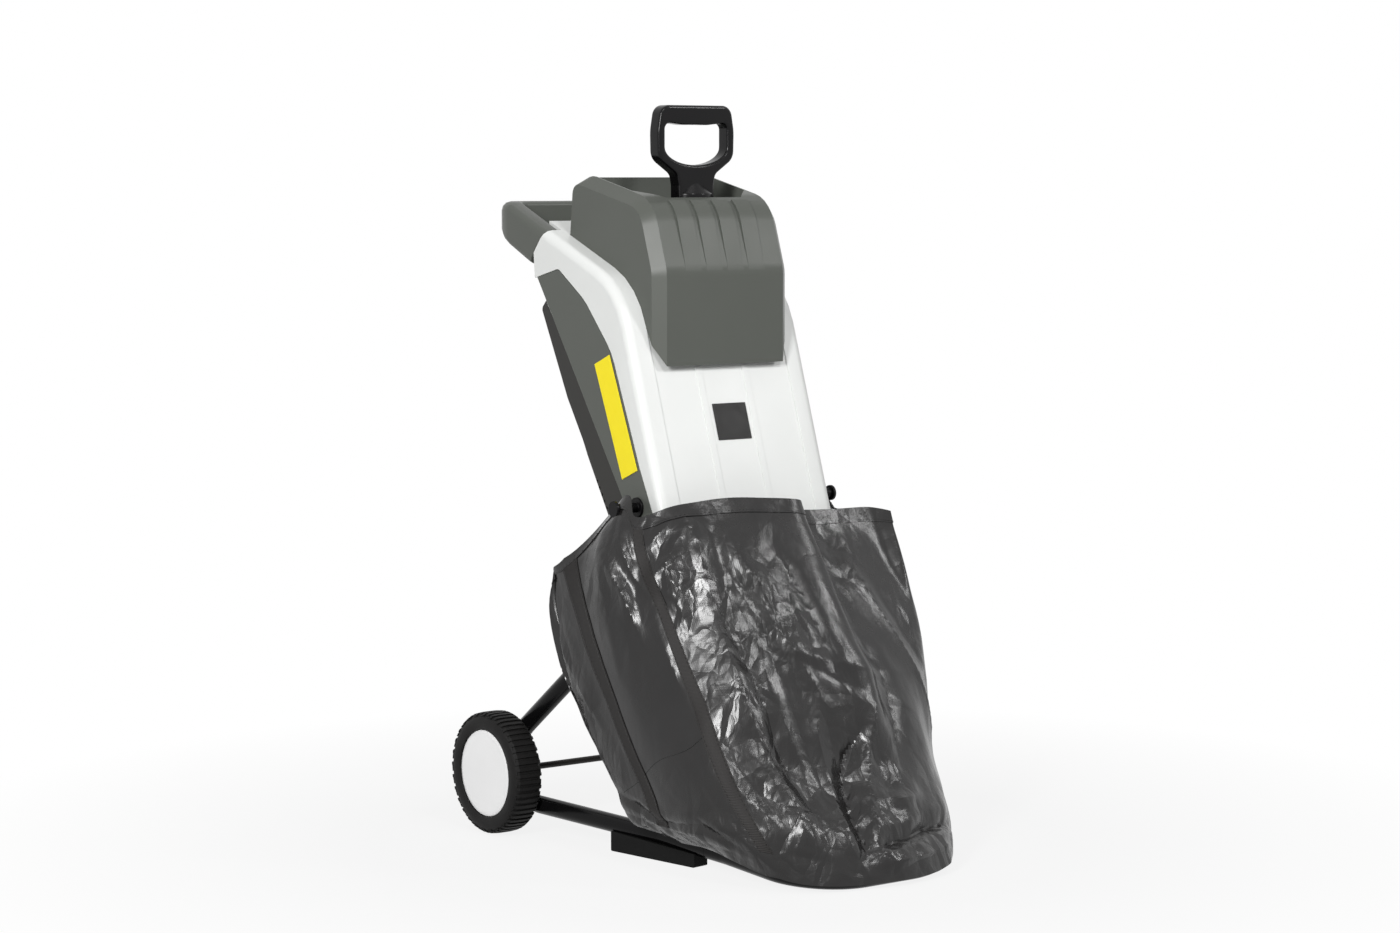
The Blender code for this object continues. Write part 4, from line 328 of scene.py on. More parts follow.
def bag_film(name="bag_film", evenly=None):
    """Woven plastic under a glossy coat, creased as much as the sheet's crumple mark says, or evenly."""
    made = Finish(name, 0.3, specular=0.44)
    made.tint(made.cloud(17.0, 6.0, 0.62), (0.0050, 0.0046, 0.0048), (0.0120, 0.0111, 0.0108))
    made.feed("Roughness", made.cloud(19.0, 5.0, 0.6) * 0.26 + 0.13)
    crumple = evenly or made.out(made.node("ShaderNodeAttribute", {"attribute_name": "crumple"}), "Fac")
    wobble = made.node("ShaderNodeTexNoise", Vector=made.place(), Scale=20.0, Detail=3.0)
    moved = made.node("ShaderNodeVectorMath", {"operation": "MULTIPLY_ADD"})
    terms = (made.out(wobble, "Color"), (0.022, 0.022, 0.022), made.place(scale=(1, 1, 0.55)))
    for slot, term in zip(moved.inputs, terms):
        plug(made.tree, slot, term)
    bump = None
    for scale, height, strength in FILM_CREASES:
        edges = made.node("ShaderNodeTexVoronoi", {"feature": "DISTANCE_TO_EDGE"}, Vector=made.out(moved),
                          Scale=scale)
        bump = made.relief(made.out(edges, "Distance") * crumple, height * MM, strength, bump)
    weave = made.bands("X", FILM_WEAVE, 0.2) * made.bands("Z", FILM_WEAVE, 0.2)
    made.relief(weave, 0.05 * MM, 0.5, bump)
    return made.material


def ribbon_web():
    made = Finish("ribbon_web", 0.55, specular=0.2)
    rows = made.bands("DIAGONAL", 260.0, 0.1)
    made.tint(rows, (0.011, 0.0100, 0.0098), (0.020, 0.0182, 0.0172))
    made.relief(rows, 0.15 * MM, 0.7)
    return made.material


def sewing_thread():
    made = Finish("sewing_thread", 0.5, specular=0.3)
    made.tint(made.cloud(300.0), (0.006, 0.006, 0.006), (0.013, 0.012, 0.012))
    return made.material


def make_paints():
    """The finish of each material slot."""
    return {
        "white_plastic": moulded("white_plastic"), "grey_plastic": moulded("grey_plastic"),
        "black_plastic": moulded("black_plastic"), "cap_white": moulded("cap_plastic"),
        "red_button": moulded("red_key"), "green_rocker": moulded("green_key"),
        "black_paint": black_paint(), "tyre_black": tyre_rubber(), "foot_rubber": foot_rubber(),
        "bag_black": bag_film(), "cast_aluminium": cast_metal(), "copper_winding": wound_copper(),
        "iron_laminations": stacked_iron(), "carbon": pressed_carbon(),
        "steel": machined_steel("machined_steel", (0.55, 0.56, 0.58), 0.34),
        "blade_steel": machined_steel("ground_steel", (0.66, 0.67, 0.69), 0.22),
        "yellow_label": label_film("yellow_film", (0.95, 0.80, 0.025), (0.90, 0.74, 0.02)),
        "plate_black": label_film("black_film", (0.0105, 0.0098, 0.0092), (0.0070, 0.0068, 0.0066)),
    }


def paint(piece, finish):
    piece.data.materials.clear()
    piece.data.materials.append(finish)


def dress(piece, finish, body):
    """Gives a new piece its finish, and names the body that it rides on."""
    paint(piece, finish)
    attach(piece, body)


# Stage

FLOOR_Z = -0.0004
# How white the camera sees the floor at the object. This grows to 1 from a distance on.
NEAR_WHITE = 0.86
WHITE_FROM = 0.42
WHITE_RATE = 1.6
FILL_LIGHT = 0.20


def seen_as_white(tree):
    """1 where the camera, a mirror or a glass looks at the surface."""
    rays = tree.nodes.new("ShaderNodeLightPath")
    kinds = ("Is Camera Ray", "Is Glossy Ray", "Is Transmission Ray")
    camera, mirror, glass = [Signal(tree, rays.outputs[kind]) for kind in kinds]
    return (camera + mirror + glass).clamped()


def show_mixed(tree, share, first, second, output):
    """Sends a mix of two shaders to an output."""
    both = tree.nodes.new("ShaderNodeMixShader")
    for slot, socket in zip(both.inputs, (share.socket, first.outputs[0], second.outputs[0])):
        tree.links.new(socket, slot)
    tree.links.new(both.outputs[0], tree.nodes[output].inputs[0])


def set_stage():
    """A pale floor that keeps the object's shadow, in a white world."""
    nothing_selected()
    bpy.ops.mesh.primitive_plane_add(size=40, location=(0, 0, FLOOR_Z))
    floor = bpy.context.object
    floor.name = "floor"
    made = Finish("pale_floor", 0.9, specular=0.1)
    made.feed("Base Color", (0.5, 0.5, 0.5, 1))
    here = made.out(made.node("ShaderNodeTexCoord"), "Object")
    span = made.node("ShaderNodeVectorMath", {"operation": "LENGTH"}, Vector=here)
    far = ((made.out(span, "Value") - WHITE_FROM) * WHITE_RATE).clamped()
    share = seen_as_white(made.tree) * (far * (1 - NEAR_WHITE) + NEAR_WHITE)
    glow = made.node("ShaderNodeEmission", Strength=1.0)
    show_mixed(made.tree, share, made.shader, glow, "Material Output")
    paint(floor, made.material)
    world = bpy.data.worlds.new("studio")
    bpy.context.scene.world = world
    world.use_nodes = True
    tree = world.node_tree
    plain = tree.nodes["Background"]
    white = tree.nodes.new("ShaderNodeBackground")
    for background, strength in ((plain, FILL_LIGHT), (white, 1.0)):
        background.inputs["Color"].default_value = (1, 1, 1, 1)
        background.inputs["Strength"].default_value = strength
    show_mixed(tree, seen_as_white(tree), plain, white, "World Output")


# Working on pieces

MERGE_COPY = 0.00002
MERGE_NEW = 0.00001
MERGE_SHEET = 0.00005
FLAT_WITHIN = radians(0.08)
ROUNDED_FROM = radians(32)


def nothing_selected():
    if bpy.context.object and bpy.context.object.mode != "OBJECT":
        bpy.ops.object.mode_set(mode="OBJECT")
    bpy.ops.object.select_all(action="DESELECT")


def work_on(piece):
    nothing_selected()
    piece.select_set(True)
    bpy.context.view_layer.objects.active = piece


def add_modifier(piece, name, kind, **settings):
    """A modifier with its settings, applied at once."""
    modifier = piece.modifiers.new(name, kind)
    for key, value in settings.items():
        setattr(modifier, key, value)
    bpy.ops.object.modifier_apply(modifier=name)


def clean_mesh(merge=None, outward=True, flatten=False):
    """Merges doubles, turns faces outwards and dissolves flat joints of the active piece, as asked."""
    bpy.ops.object.mode_set(mode="EDIT")
    bpy.ops.mesh.select_all(action="SELECT")
    if merge:
        bpy.ops.mesh.remove_doubles(threshold=merge)
    if outward:
        bpy.ops.mesh.normals_make_consistent(inside=False)
    if flatten:
        bpy.ops.mesh.dissolve_limited(angle_limit=FLAT_WITHIN)
    bpy.ops.object.mode_set(mode="OBJECT")


def pick(piece, kind, test):
    """In edit mode, selects the faces or edges that pass a test, and nothing else."""
    bpy.ops.mesh.select_mode(type=kind)
    bpy.ops.mesh.select_all(action="DESELECT")
    shape = bmesh.from_edit_mesh(piece.data)
    for part in shape.faces if kind == "FACE" else shape.edges:
        part.select_set(bool(test(part)))
    bmesh.update_edit_mesh(piece.data)


def smooth(degrees):
    bpy.ops.object.shade_smooth_by_angle(angle=radians(degrees))


def shade_evenly(piece, degrees):
    """Smooth shading up to an angle, with normals that follow the larger faces."""
    smooth(degrees)
    add_modifier(piece, "even_shading", "WEIGHTED_NORMAL", weight=90, keep_sharp=True)


def finished_copy(node, width, finish=None, reshape=None):
    """A merged copy of a CAD node with its hard edges slightly rounded, shown in the node's place."""
    source = NODES[node]
    work_on(source)
    bpy.ops.object.duplicate()
    piece = bpy.context.object
    piece.name = f"{node}_moulding"
    for key in list(piece.keys()):
        if key.startswith("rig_"):
            del piece[key]
    piece.parent = None
    piece.matrix_world = Matrix.Identity(4)
    clean_mesh(MERGE_COPY, outward=False, flatten=True)
    add_modifier(piece, "rounding", "BEVEL", width=width, segments=2, limit_method="ANGLE",
                 angle_limit=ROUNDED_FROM, miter_outer="MITER_ARC")
    if reshape:
        reshape(piece)
    shade_evenly(piece, 40)
    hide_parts(node)
    dress(piece, finish or source.active_material, source["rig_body"])


def arc_path(corners, step=radians(4)):
    """Plain points of a path whose (point, radius) corners are rounded."""
    points = []
    for i, (point, radius) in enumerate(corners):
        here = Vector(point)
        if i in (0, len(corners) - 1) or radius <= 0:
            points.append(here)
            continue
        back = (Vector(corners[i - 1][0]) - here).normalized()
        ahead = (Vector(corners[i + 1][0]) - here).normalized()
        turn = pi - back.angle(ahead)
        reach = radius * tan(turn / 2)
        centre = here + (back + ahead).normalized() * radius / cos(turn / 2)
        first = here + back * reach - centre
        axis = first.cross(here + ahead * reach - centre).normalized()
        count = max(1, ceil(turn / step))
        for k in range(count + 1):
            points.append(centre + Matrix.Rotation(turn * k / count, 3, axis) @ first)
    return points


def poly_curve(name, lines, closed, dimensions):
    """A curve with straight spans through the points of each line."""
    nothing_selected()
    bpy.ops.curve.primitive_nurbs_path_add(location=(0, 0, 0))
    piece = bpy.context.object
    piece.name = name
    piece.data.splines.clear()
    piece.data.dimensions = dimensions
    for line in lines:
        spline = piece.data.splines.new("POLY")
        spline.points.add(len(line) - 1)
        for place, point in zip(spline.points, line):
            place.co = (*point, 1)
        spline.use_cyclic_u = closed
    return piece


# Hopper hood

# Its front face is read along a line of corners beside the ribs.
HOOD_CORNER_X = 0.088
HOOD_CORNER_Z = (0.64, 0.778)
HOOD_FRONT_Y = 0.03
RIB_REACH_X = 0.0605
RIB_Z = (0.690, 0.760)
RIB_HEIGHT = 0.0034
RIB_FOOT_Z = 0.691
RIB_FADE = 0.050


def run_out_ribs(hood):
    """The ribs on the hood's front lose their height towards their feet and end in its face."""
    corner = {(round(v.co.z, 5), round(v.co.y, 5)) for v in NODES["hopper_hood"].data.vertices
              if abs(abs(v.co.x) - HOOD_CORNER_X) < CLOSE and v.co.y < HOOD_FRONT_Y
              and HOOD_CORNER_Z[0] < v.co.z < HOOD_CORNER_Z[1]}
    face = np.array([(y, z) for z, y in sorted(corner)])
    steps = np.diff(face, axis=0)
    for vertex in hood.data.vertices:
        x, y, z = vertex.co
        if abs(x) > RIB_REACH_X or y > HOOD_FRONT_Y or not RIB_Z[0] < z < RIB_Z[1]:
            continue
        here = np.array((y, z))
        share = np.clip(((here - face[:-1]) * steps).sum(axis=1) / (steps ** 2).sum(axis=1), 0, 1)
        feet = face[:-1] + steps * share[:, None]
        away = here - feet
        near = int(np.argmin((away ** 2).sum(axis=1)))
        outward = away[near] @ np.array((-steps[near][1], steps[near][0]))
        if outward > 0 and (away[near] ** 2).sum() < RIB_HEIGHT ** 2:
            rise = min(max((feet[near][1] - RIB_FOOT_Z) / RIB_FADE, 0), 1)
            vertex.co.y, vertex.co.z = feet[near] + away[near] * rise * rise * (3 - 2 * rise)
    clean_mesh(MERGE_COPY, outward=False)


# Plunger grip

GRIP_Y = -0.142 + AXLE_Y
GRIP_DEPTH = 0.020
GRIP_ROUNDING = 0.0034
GRIP_FOOT = 0.7717
CONE_FOOT = GRIP_FOOT + 0.0125
CONE_TOP = 0.8045
CONE_HALF = 0.0258
CONE_TIP = 0.003
CONE_SQUASH = 0.83
COLLAR_HEIGHT = 0.0122
COLLAR_ROUNDING = 0.0012


def grip_outlines():
    """The grip's outer edge and its opening as closed lines of (x, z)."""
    outer = [((0, 0, .8905), 0), ((.0525, 0, .8905), .014), ((.0578, 0, .8600), .060), ((.0570, 0, .8265), .018),
             ((.0290, 0, .8075), .012), ((.0265, 0, .7940), .010), ((.0265, 0, GRIP_FOOT), 0)]
    right = [(p[0], p[2]) for p in arc_path(outer, radians(6))]
    edge = right + [(-x, z) for x, z in reversed(right[1:])]
    upper = [((0, 0, .8672), 0), ((.0180, 0, .8668), .030), ((.0470, 0, .8700), .008), ((.0470, 0, .8405), 0)]
    right = [(p[0], p[2]) for p in arc_path(upper, radians(8))]
    right += [(.0470 * cos(radians(a)), .8405 - .0219 * sin(radians(a))) for a in range(8, 90, 8)] + [(0, .8186)]
    return edge, right + [(-x, z) for x, z in reversed(right[1:-1])]


def grip_cone():
    """A squashed cone on a collar with a rounded edge."""
    nothing_selected()
    bpy.ops.mesh.primitive_cone_add(vertices=32, radius1=CONE_HALF, radius2=CONE_TIP, depth=CONE_TOP - CONE_FOOT,
                                    location=(0, GRIP_Y, (CONE_TOP + CONE_FOOT) / 2))
    cone = bpy.context.object
    cone.name = "grip_cone"
    cone.scale = (1, CONE_SQUASH, 1)
    bpy.ops.object.transform_apply(location=True, rotation=True, scale=True)
    bpy.ops.object.mode_set(mode="EDIT")
    pick(cone, "FACE", lambda face: face.normal.z < -0.9)
    bpy.ops.mesh.extrude_region_move(TRANSFORM_OT_translate={"value": (0, 0, -COLLAR_HEIGHT)})
    pick(cone, "EDGE", lambda edge: all(abs(vertex.co.z - CONE_FOOT) < CLOSE for vertex in edge.verts))
    bpy.ops.mesh.bevel(offset=COLLAR_ROUNDING, segments=2)
    bpy.ops.object.mode_set(mode="OBJECT")
    return cone


def plunger_grip(finish):
    """The plunger's grip with rounded rims and a low cone at its foot."""
    lines = [[(x, z, 0) for x, z in line] for line in grip_outlines()]
    grip = poly_curve("plunger_grip", lines, True, "2D")
    curve = grip.data
    curve.fill_mode = "BOTH"
    curve.bevel_depth = GRIP_ROUNDING
    curve.offset = -GRIP_ROUNDING
    curve.bevel_resolution = 3
    curve.extrude = GRIP_DEPTH / 2 - GRIP_ROUNDING
    bpy.ops.object.convert(target="MESH")
    clean_mesh(MERGE_NEW)
    for vertex in grip.data.vertices:
        x, z, depth = vertex.co
        vertex.co = (x, GRIP_Y - depth, z)
    grip.data.update()
    cone = grip_cone()
    work_on(grip)
    add_modifier(grip, "cone", "BOOLEAN", operation="UNION", object=cone)
    bpy.data.objects.remove(cone)
    shade_evenly(grip, 32)
    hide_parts("plunger_handle")
    dress(grip, finish, NODES["plunger_handle"]["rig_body"])


# Frame tubes

TUBE_R = 0.011
TUBE_ROUNDNESS = 5


def tube_paths():
    """Middle lines of the frame's tubes, y from the axle."""
    strut = 0.872
    paths = {}
    for name, side in (("left", -1), ("right", 1)):
        corners = [((side * 0.1405, -0.2239, 0.3099), 0), ((side * 0.1405, -0.165, 0.1146 + strut * 0.165), 0.08),
                   ((side * 0.163, -0.02, 0.1146 + strut * 0.02), 0), ((side * 0.163, 0.07994, 0.0449), 0.051),
                   ((side * 0.163, -0.048, 0.03786), 0), ((side * 0.1235, -0.25, 0.02675), 0.08),
                   ((side * 0.1163, -0.33, 0.02235), 0)]
        paths[f"side_tube_{name}"] = arc_path(corners)
    right = [((0.11627, -0.3303, 0.02233), 0), ((0.11362, -0.35983, 0.02071), 0.05), ((0.111, -0.515, 0.011), 0.078)]
    left = [((-x, y, z), radius) for (x, y, z), radius in reversed(right)]
    paths["front_bar"] = arc_path(right + left)
    return paths


TUBES = tube_paths()


def frame_tubes(paints):
    """Round bars along the middle lines, with their ends closed."""
    for name, path in TUBES.items():
        tube = poly_curve(f"{name}_bent", [[(x, y + AXLE_Y, z) for x, y, z in path]], False, "3D")
        tube.data.bevel_depth = TUBE_R
        tube.data.bevel_resolution = TUBE_ROUNDNESS
        tube.data.use_fill_caps = True
        bpy.ops.object.convert(target="MESH")
        clean_mesh(MERGE_NEW)
        smooth(45)
        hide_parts(name)
        dress(tube, paints["black_paint"], "chassis")


# Tyres

WHEEL_R = 0.075
TYRE_MIDDLE_X = 0.215 - 0.020
TREAD_RIBS = 58
SHOULDER_LUGS = 29
TREAD_LEAST_R = 0.069
# Half of the tyre's section, from the bore's edge over the shoulder to the middle of the tread: radius, and
# distance from the middle of its width.
TYRE_SECTION = [(0.0537, 0.0165), (0.0545, 0.0188), (0.0575, 0.0197), (0.0625, 0.0199), (0.0668, 0.0194),
                (0.0698, 0.0176), (0.0712, 0.0162), (0.0726, 0.0140), (0.0732, 0.0072), (0.0732, 0.0)]
# Raised blocks of the tread and the shoulders: reach from and to, measured from the middle, count round, height.
TYRE_BLOCKS = ((0, 0.0155, TREAD_RIBS, 0.0018), (0.0160, 0.0192, SHOULDER_LUGS, 0.0013))


def ribbed_tyre(side, paints):
    """A tyre turned from its section, with fine ribs across the tread and lugs along both shoulders."""
    nothing_selected()
    name = "left" if side < 0 else "right"
    section = TYRE_SECTION + [(r, -x) for r, x in TYRE_SECTION[-2::-1]]
    bpy.ops.mesh.primitive_circle_add(vertices=len(section), radius=0.02)
    tyre = bpy.context.object
    tyre.name = f"ribbed_tyre_{name}"
    for vertex, (radius, across) in zip(tyre.data.vertices, section):
        vertex.co = (across, 0, radius)
    bpy.ops.object.mode_set(mode="EDIT")
    bpy.ops.mesh.select_all(action="SELECT")
    bpy.ops.mesh.spin(steps=TREAD_RIBS * 4, angle=2 * pi, center=(0, 0, 0), axis=(1, 0, 0))
    clean_mesh(MERGE_NEW)
    bpy.ops.object.mode_set(mode="EDIT")
    for start, end, count, height in TYRE_BLOCKS:

        def in_block(face):
            middle = face.calc_center_median()
            radius = (middle.y ** 2 + middle.z ** 2) ** 0.5
            share = (np.arctan2(middle.y, middle.z) / (2 * pi) * count) % 1
            return radius > TREAD_LEAST_R and start < abs(middle.x) < end and 0.0 < share < 0.5

        pick(tyre, "FACE", in_block)
        bpy.ops.mesh.extrude_region_shrink_fatten(TRANSFORM_OT_shrink_fatten={"value": height})
    work_on(tyre)
    smooth(25)
    for vertex in tyre.data.vertices:
        vertex.co.x += side * TYRE_MIDDLE_X
        vertex.co.y += AXLE_Y
        vertex.co.z += WHEEL_R
    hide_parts(f"wheel_tyre_{name}")
    dress(tyre, paints["tyre_black"], f"wheel_{name}")


# Collection bag

# Outline at each level, from the middle of the back round the right side to the back's left half, which
# mirrors the right one: x, y from the axle, z.
BAG_LEVELS = [
    [(0, -.167, .195), (.09, -.167, .195), (.162, -.163, .206), (.190, -.117, .334), (.190, -.140, .352),
     (.145, -.2075, .4270), (.157, -.222, .3985), (.190, -.290, .397), (.165, -.280, .403), (.110, -.278, .404),
     (.046, -.280, .408), (.030, -.3145, .4226), (-.020, -.303, .427), (-.070, -.289, .428), (-.125, -.268, .420),
     (-.156, -.240, .4074), (-.148, -.2075, .4285), (-.190, -.142, .353), (-.1885, -.120, .324)],
    [(0, -.172, .182), (.09, -.172, .182), (.168, -.166, .190), (.191, -.113, .290), (.191, -.160, .315),
     (.183, -.215, .360), (.190, -.262, .350), (.194, -.309, .345), (.170, -.305, .340), (.115, -.312, .345),
     (.051, -.315, .350), (.034, -.345, .362), (-.022, -.335, .365), (-.082, -.322, .365), (-.140, -.292, .365),
     (-.170, -.262, .355), (-.182, -.225, .365), (-.191, -.160, .315), (-.192, -.112, .290)],
    [(0, -.180, .165), (.09, -.180, .165), (.170, -.172, .172), (.190, -.133, .235), (.191, -.185, .265),
     (.190, -.240, .290), (.193, -.284, .285), (.195, -.326, .285), (.176, -.338, .280), (.120, -.345, .285),
     (.058, -.352, .292), (.036, -.378, .300), (-.025, -.365, .305), (-.088, -.350, .305), (-.146, -.318, .305),
     (-.174, -.290, .302), (-.189, -.250, .300), (-.192, -.184, .270), (-.192, -.128, .235)],
    [(0, -.197, .138), (.09, -.197, .138), (.170, -.190, .142), (.190, -.180, .165), (.190, -.228, .188),
     (.190, -.270, .190), (.191, -.310, .190), (.190, -.354, .190), (.174, -.374, .190), (.125, -.401, .195),
     (.070, -.415, .200), (.040, -.430, .205), (-.030, -.418, .210), (-.095, -.402, .210), (-.150, -.374, .205),
     (-.175, -.340, .200), (-.190, -.285, .202), (-.191, -.228, .190), (-.191, -.178, .165)],
    [(0, -.238, .088), (.09, -.238, .088), (.162, -.237, .088), (.181, -.237, .092), (.185, -.278, .104),
     (.186, -.310, .105), (.186, -.348, .105), (.183, -.382, .105), (.170, -.401, .105), (.125, -.446, .105),
     (.075, -.470, .105), (.040, -.478, .105), (-.030, -.470, .105), (-.092, -.458, .105), (-.148, -.436, .105),
     (-.174, -.400, .105), (-.187, -.345, .108), (-.187, -.290, .100), (-.182, -.237, .092)],
    [(0, -.258, .052), (.088, -.258, .052), (.152, -.256, .052), (.171, -.257, .052), (.173, -.303, .052),
     (.174, -.335, .050), (.174, -.375, .050), (.170, -.414, .048), (.156, -.446, .045), (.118, -.489, .043),
     (.074, -.514, .042), (.035, -.530, .042), (-.025, -.532, .042), (-.082, -.516, .043), (-.135, -.482, .044),
     (-.160, -.442, .050), (-.176, -.380, .050), (-.175, -.318, .051), (-.172, -.257, .052)],
    [(0, -.285, .0415), (.080, -.285, .0415), (.135, -.278, .0415), (.150, -.275, .0415), (.154, -.310, .039),
     (.157, -.335, .037), (.158, -.370, .034), (.157, -.415, .0300), (.146, -.460, .0230), (.106, -.503, .0140),
     (.069, -.527, .0085), (.030, -.5375, .0075), (-.025, -.5385, .0075), (-.078, -.525, .0080),
     (-.120, -.495, .011), (-.145, -.450, .0200), (-.157, -.390, .033), (-.155, -.325, .038), (-.150, -.275, .0415)],
]
BAG = [level + [(-x, y, z) for x, y, z in level[2:0:-1]] for level in BAG_LEVELS]
LEVEL_AT = np.array([0, .13, .27, .50, .77, .92, 1.0])
BAG_COLUMNS = len(BAG[0])
BAG_AROUND = 399
BAG_DOWN = 168
# The rim sags behind the left hook, between this column and the next.
SAG_COLUMN = 16
SAG = 0.010
SAG_DEPTH = 0.15


def bag_surface():
    """The bag's smooth shell as a grid of points, rows from rim to foot."""
    table = np.array(BAG)
    where = np.arange(BAG_AROUND) * BAG_COLUMNS / BAG_AROUND
    index = where.astype(int)
    part = (where - index)[None, :, None]
    p0, p1, p2, p3 = [table[:, (index + k) % BAG_COLUMNS] for k in (-1, 0, 1, 2)]
    rows = 0.5 * (2 * p1 + (p2 - p0) * part + (2 * p0 - 5 * p1 + 4 * p2 - p3) * part ** 2
                  + (3 * p1 - p0 - 3 * p2 + p3) * part ** 3)
    slopes = np.gradient(rows, LEVEL_AT, axis=0)
    fall = np.linspace(0, 1, BAG_DOWN)
    low = np.clip(np.searchsorted(LEVEL_AT, fall, side="right") - 1, 0, len(LEVEL_AT) - 2)
    step = (LEVEL_AT[low + 1] - LEVEL_AT[low])[:, None, None]
    t = ((fall - LEVEL_AT[low])[:, None, None]) / step
    grid = ((2 * t ** 3 - 3 * t ** 2 + 1) * rows[low] + (t ** 3 - 2 * t ** 2 + t) * step * slopes[low]
            + (3 * t ** 2 - 2 * t ** 3) * rows[low + 1] + (t ** 3 - t ** 2) * step * slopes[low + 1])
    grid[..., 1] += AXLE_Y
    sag = np.sin(pi * np.clip(where - SAG_COLUMN, 0, 1)) * SAG
    grid[..., 2] -= sag[None, :] * np.clip(1 - fall / SAG_DEPTH, 0, 1)[:, None]
    return grid


def grid_normals(grid):
    across = np.roll(grid, -1, axis=1) - np.roll(grid, 1, axis=1)
    down = np.gradient(grid, axis=0)
    normals = np.cross(across, down)
    return normals / np.maximum(np.linalg.norm(normals, axis=2, keepdims=True), 1e-9)


FACET_SCATTER = 0.42


def random_facets(u, v, girth, seed, cell, tall):
    """Heights from -1 to 1 on points scattered over the sheet, with flat triangles between them."""
    dice = np.random.default_rng(seed)
    across = max(4, round(girth / cell))
    step = girth / across
    places, heights = [], []
    for row in range(-2, int(v.max() / (cell * tall)) + 4):
        for column in range(across):
            a = (column + 0.5 * (row % 2) + dice.uniform(-FACET_SCATTER, FACET_SCATTER)) * step
            b = (row + dice.uniform(-FACET_SCATTER, FACET_SCATTER)) * cell * tall
            height = dice.uniform(-1, 1)
            for turn in (-girth, 0, girth):
                if -3 * step < a + turn < girth + 3 * step:
                    places.append(Vector((a + turn, b)))
                    heights.append(height)
    made = delaunay_2d_cdt(places, [], [], 0, 1e-7)
    corners = [(point.x, point.y, heights[origin[0]]) for point, origin in zip(made[0], made[3])]
    tree = BVHTree.FromPolygons(corners, made[2])
    down = Vector((0, 0, -1))
    found = [tree.ray_cast(Vector((a, b, 3)), down)[0] for a, b in zip(u.ravel(), v.ravel())]
    return np.array([hit.z if hit else 0.0 for hit in found]).reshape(u.shape)


# Folds of the bag: a line of (column of the table, share of the way down), how far the sheet stands out there
# in mm, and how far the fold reaches towards higher and towards lower columns in mm.
FOLDS = [
    ([(13.85, .00), (13.55, .10), (13.42, .30), (13.40, .50), (13.25, .66), (13.15, .76), (13.40, .93)], 9.0, 46, 24),
    ([(13.40, .20), (13.22, .38), (13.02, .52), (12.92, .70), (12.90, .88)], -4.0, 14, 20),
    ([(13.10, .05), (13.00, .11), (12.62, .21), (12.50, .33), (12.17, .43), (11.80, .56)], 6.0, 20, 34),
    ([(12.05, .12), (11.75, .25), (11.60, .38), (11.55, .50)], -3.5, 16, 20),
    ([(11.92, .49), (12.17, .61), (12.20, .76), (12.67, .94)], 5.0, 18, 16),
    ([(11.20, .58), (11.75, .68), (12.00, .80), (12.30, .98)], -10.0, 20, 17),
    ([(10.70, .48), (11.10, .58), (11.45, .72), (11.75, .84), (11.95, .97)], 6.0, 15, 26),
    ([(9.20, .10), (8.95, .26), (8.55, .43), (8.10, .60), (7.90, .74)], 5.0, 32, 22),
    ([(9.85, .30), (9.70, .45), (9.90, .60), (10.40, .74)], -4.0, 18, 24),
    ([(12.20, .90), (11.25, .885), (10.00, .880), (8.60, .905)], -10.0, 12, 16),
    ([(12.00, .95), (10.60, .945), (9.00, .950)], 7.0, 14, 16),
    ([(11.60, .78), (10.80, .80), (9.80, .79)], 6.0, 12, 20),
    ([(14.05, .10), (14.15, .22), (13.95, .36)], 4.0, 16, 22),
    ([(14.95, .10), (14.45, .07), (13.85, .03)], 5.0, 13, 12),
    ([(14.85, .19), (14.30, .15), (13.70, .12)], 5.5, 13, 12),
    ([(14.75, .27), (14.30, .23), (13.90, .21)], -3.5, 10, 12),
    ([(16.35, .08), (15.75, .22), (15.45, .36)], 4.5, 20, 16),
    ([(18.10, .78), (16.92, .885), (15.60, .865), (14.90, .945)], -5.0, 12, 14),
    ([(15.90, .06), (15.40, .14), (14.90, .22)], 4.0, 18, 14),
    ([(14.90, .30), (14.70, .42), (14.60, .52)], 2.5, 22, 22),
    ([(17.80, .20), (17.60, .40), (17.40, .60)], 4.0, 26, 26),
    ([(19.40, .10), (19.30, .40), (19.20, .70)], 5.0, 30, 30),
    ([(5.20, .12), (5.00, .40), (4.80, .70)], 6.0, 36, 30),
    ([(6.60, .20), (6.40, .50), (6.70, .80)], -4.0, 24, 30),
    ([(2.60, .15), (2.40, .50), (2.70, .85)], 5.0, 30, 30),
]
# Crumpled patches: column, share of the way down, reach round and down in mm, strength.
CRUMPLES = [
    (13.3, .48, 26, 90, 1.0), (13.2, .78, 34, 70, 1.3), (12.6, .26, 36, 60, 1.1), (12.0, .36, 34, 46, 0.9),
    (11.5, .62, 46, 60, 1.2), (12.2, .86, 60, 50, 1.2), (10.3, .80, 60, 50, 0.6), (8.8, .92, 60, 26, 0.8),
    (15.3, .93, 80, 26, 1.3), (14.9, .12, 30, 24, 0.9), (9.2, .12, 36, 30, 0.7), (17.6, .92, 60, 26, 1.2),
    (8.0, .45, 26, 80, 0.7), (5.0, .60, 60, 90, 0.9), (1.5, .60, 90, 90, 0.9), (19.0, .70, 60, 60, 0.8),
    (16.2, .16, 34, 50, 1.0), (15.8, .32, 16, 50, 0.8), (17.6, .35, 26, 90, 0.7), (17.5, .64, 26, 60, 0.6),
    (14.0, .09, 50, 24, 1.0), (15.2, .80, 40, 40, 0.8), (14.1, .24, 34, 50, 1.1), (14.0, .60, 22, 60, 0.8),
    (18.1, .40, 24, 60, 0.8), (10.0, .20, 40, 50, 0.6),
]
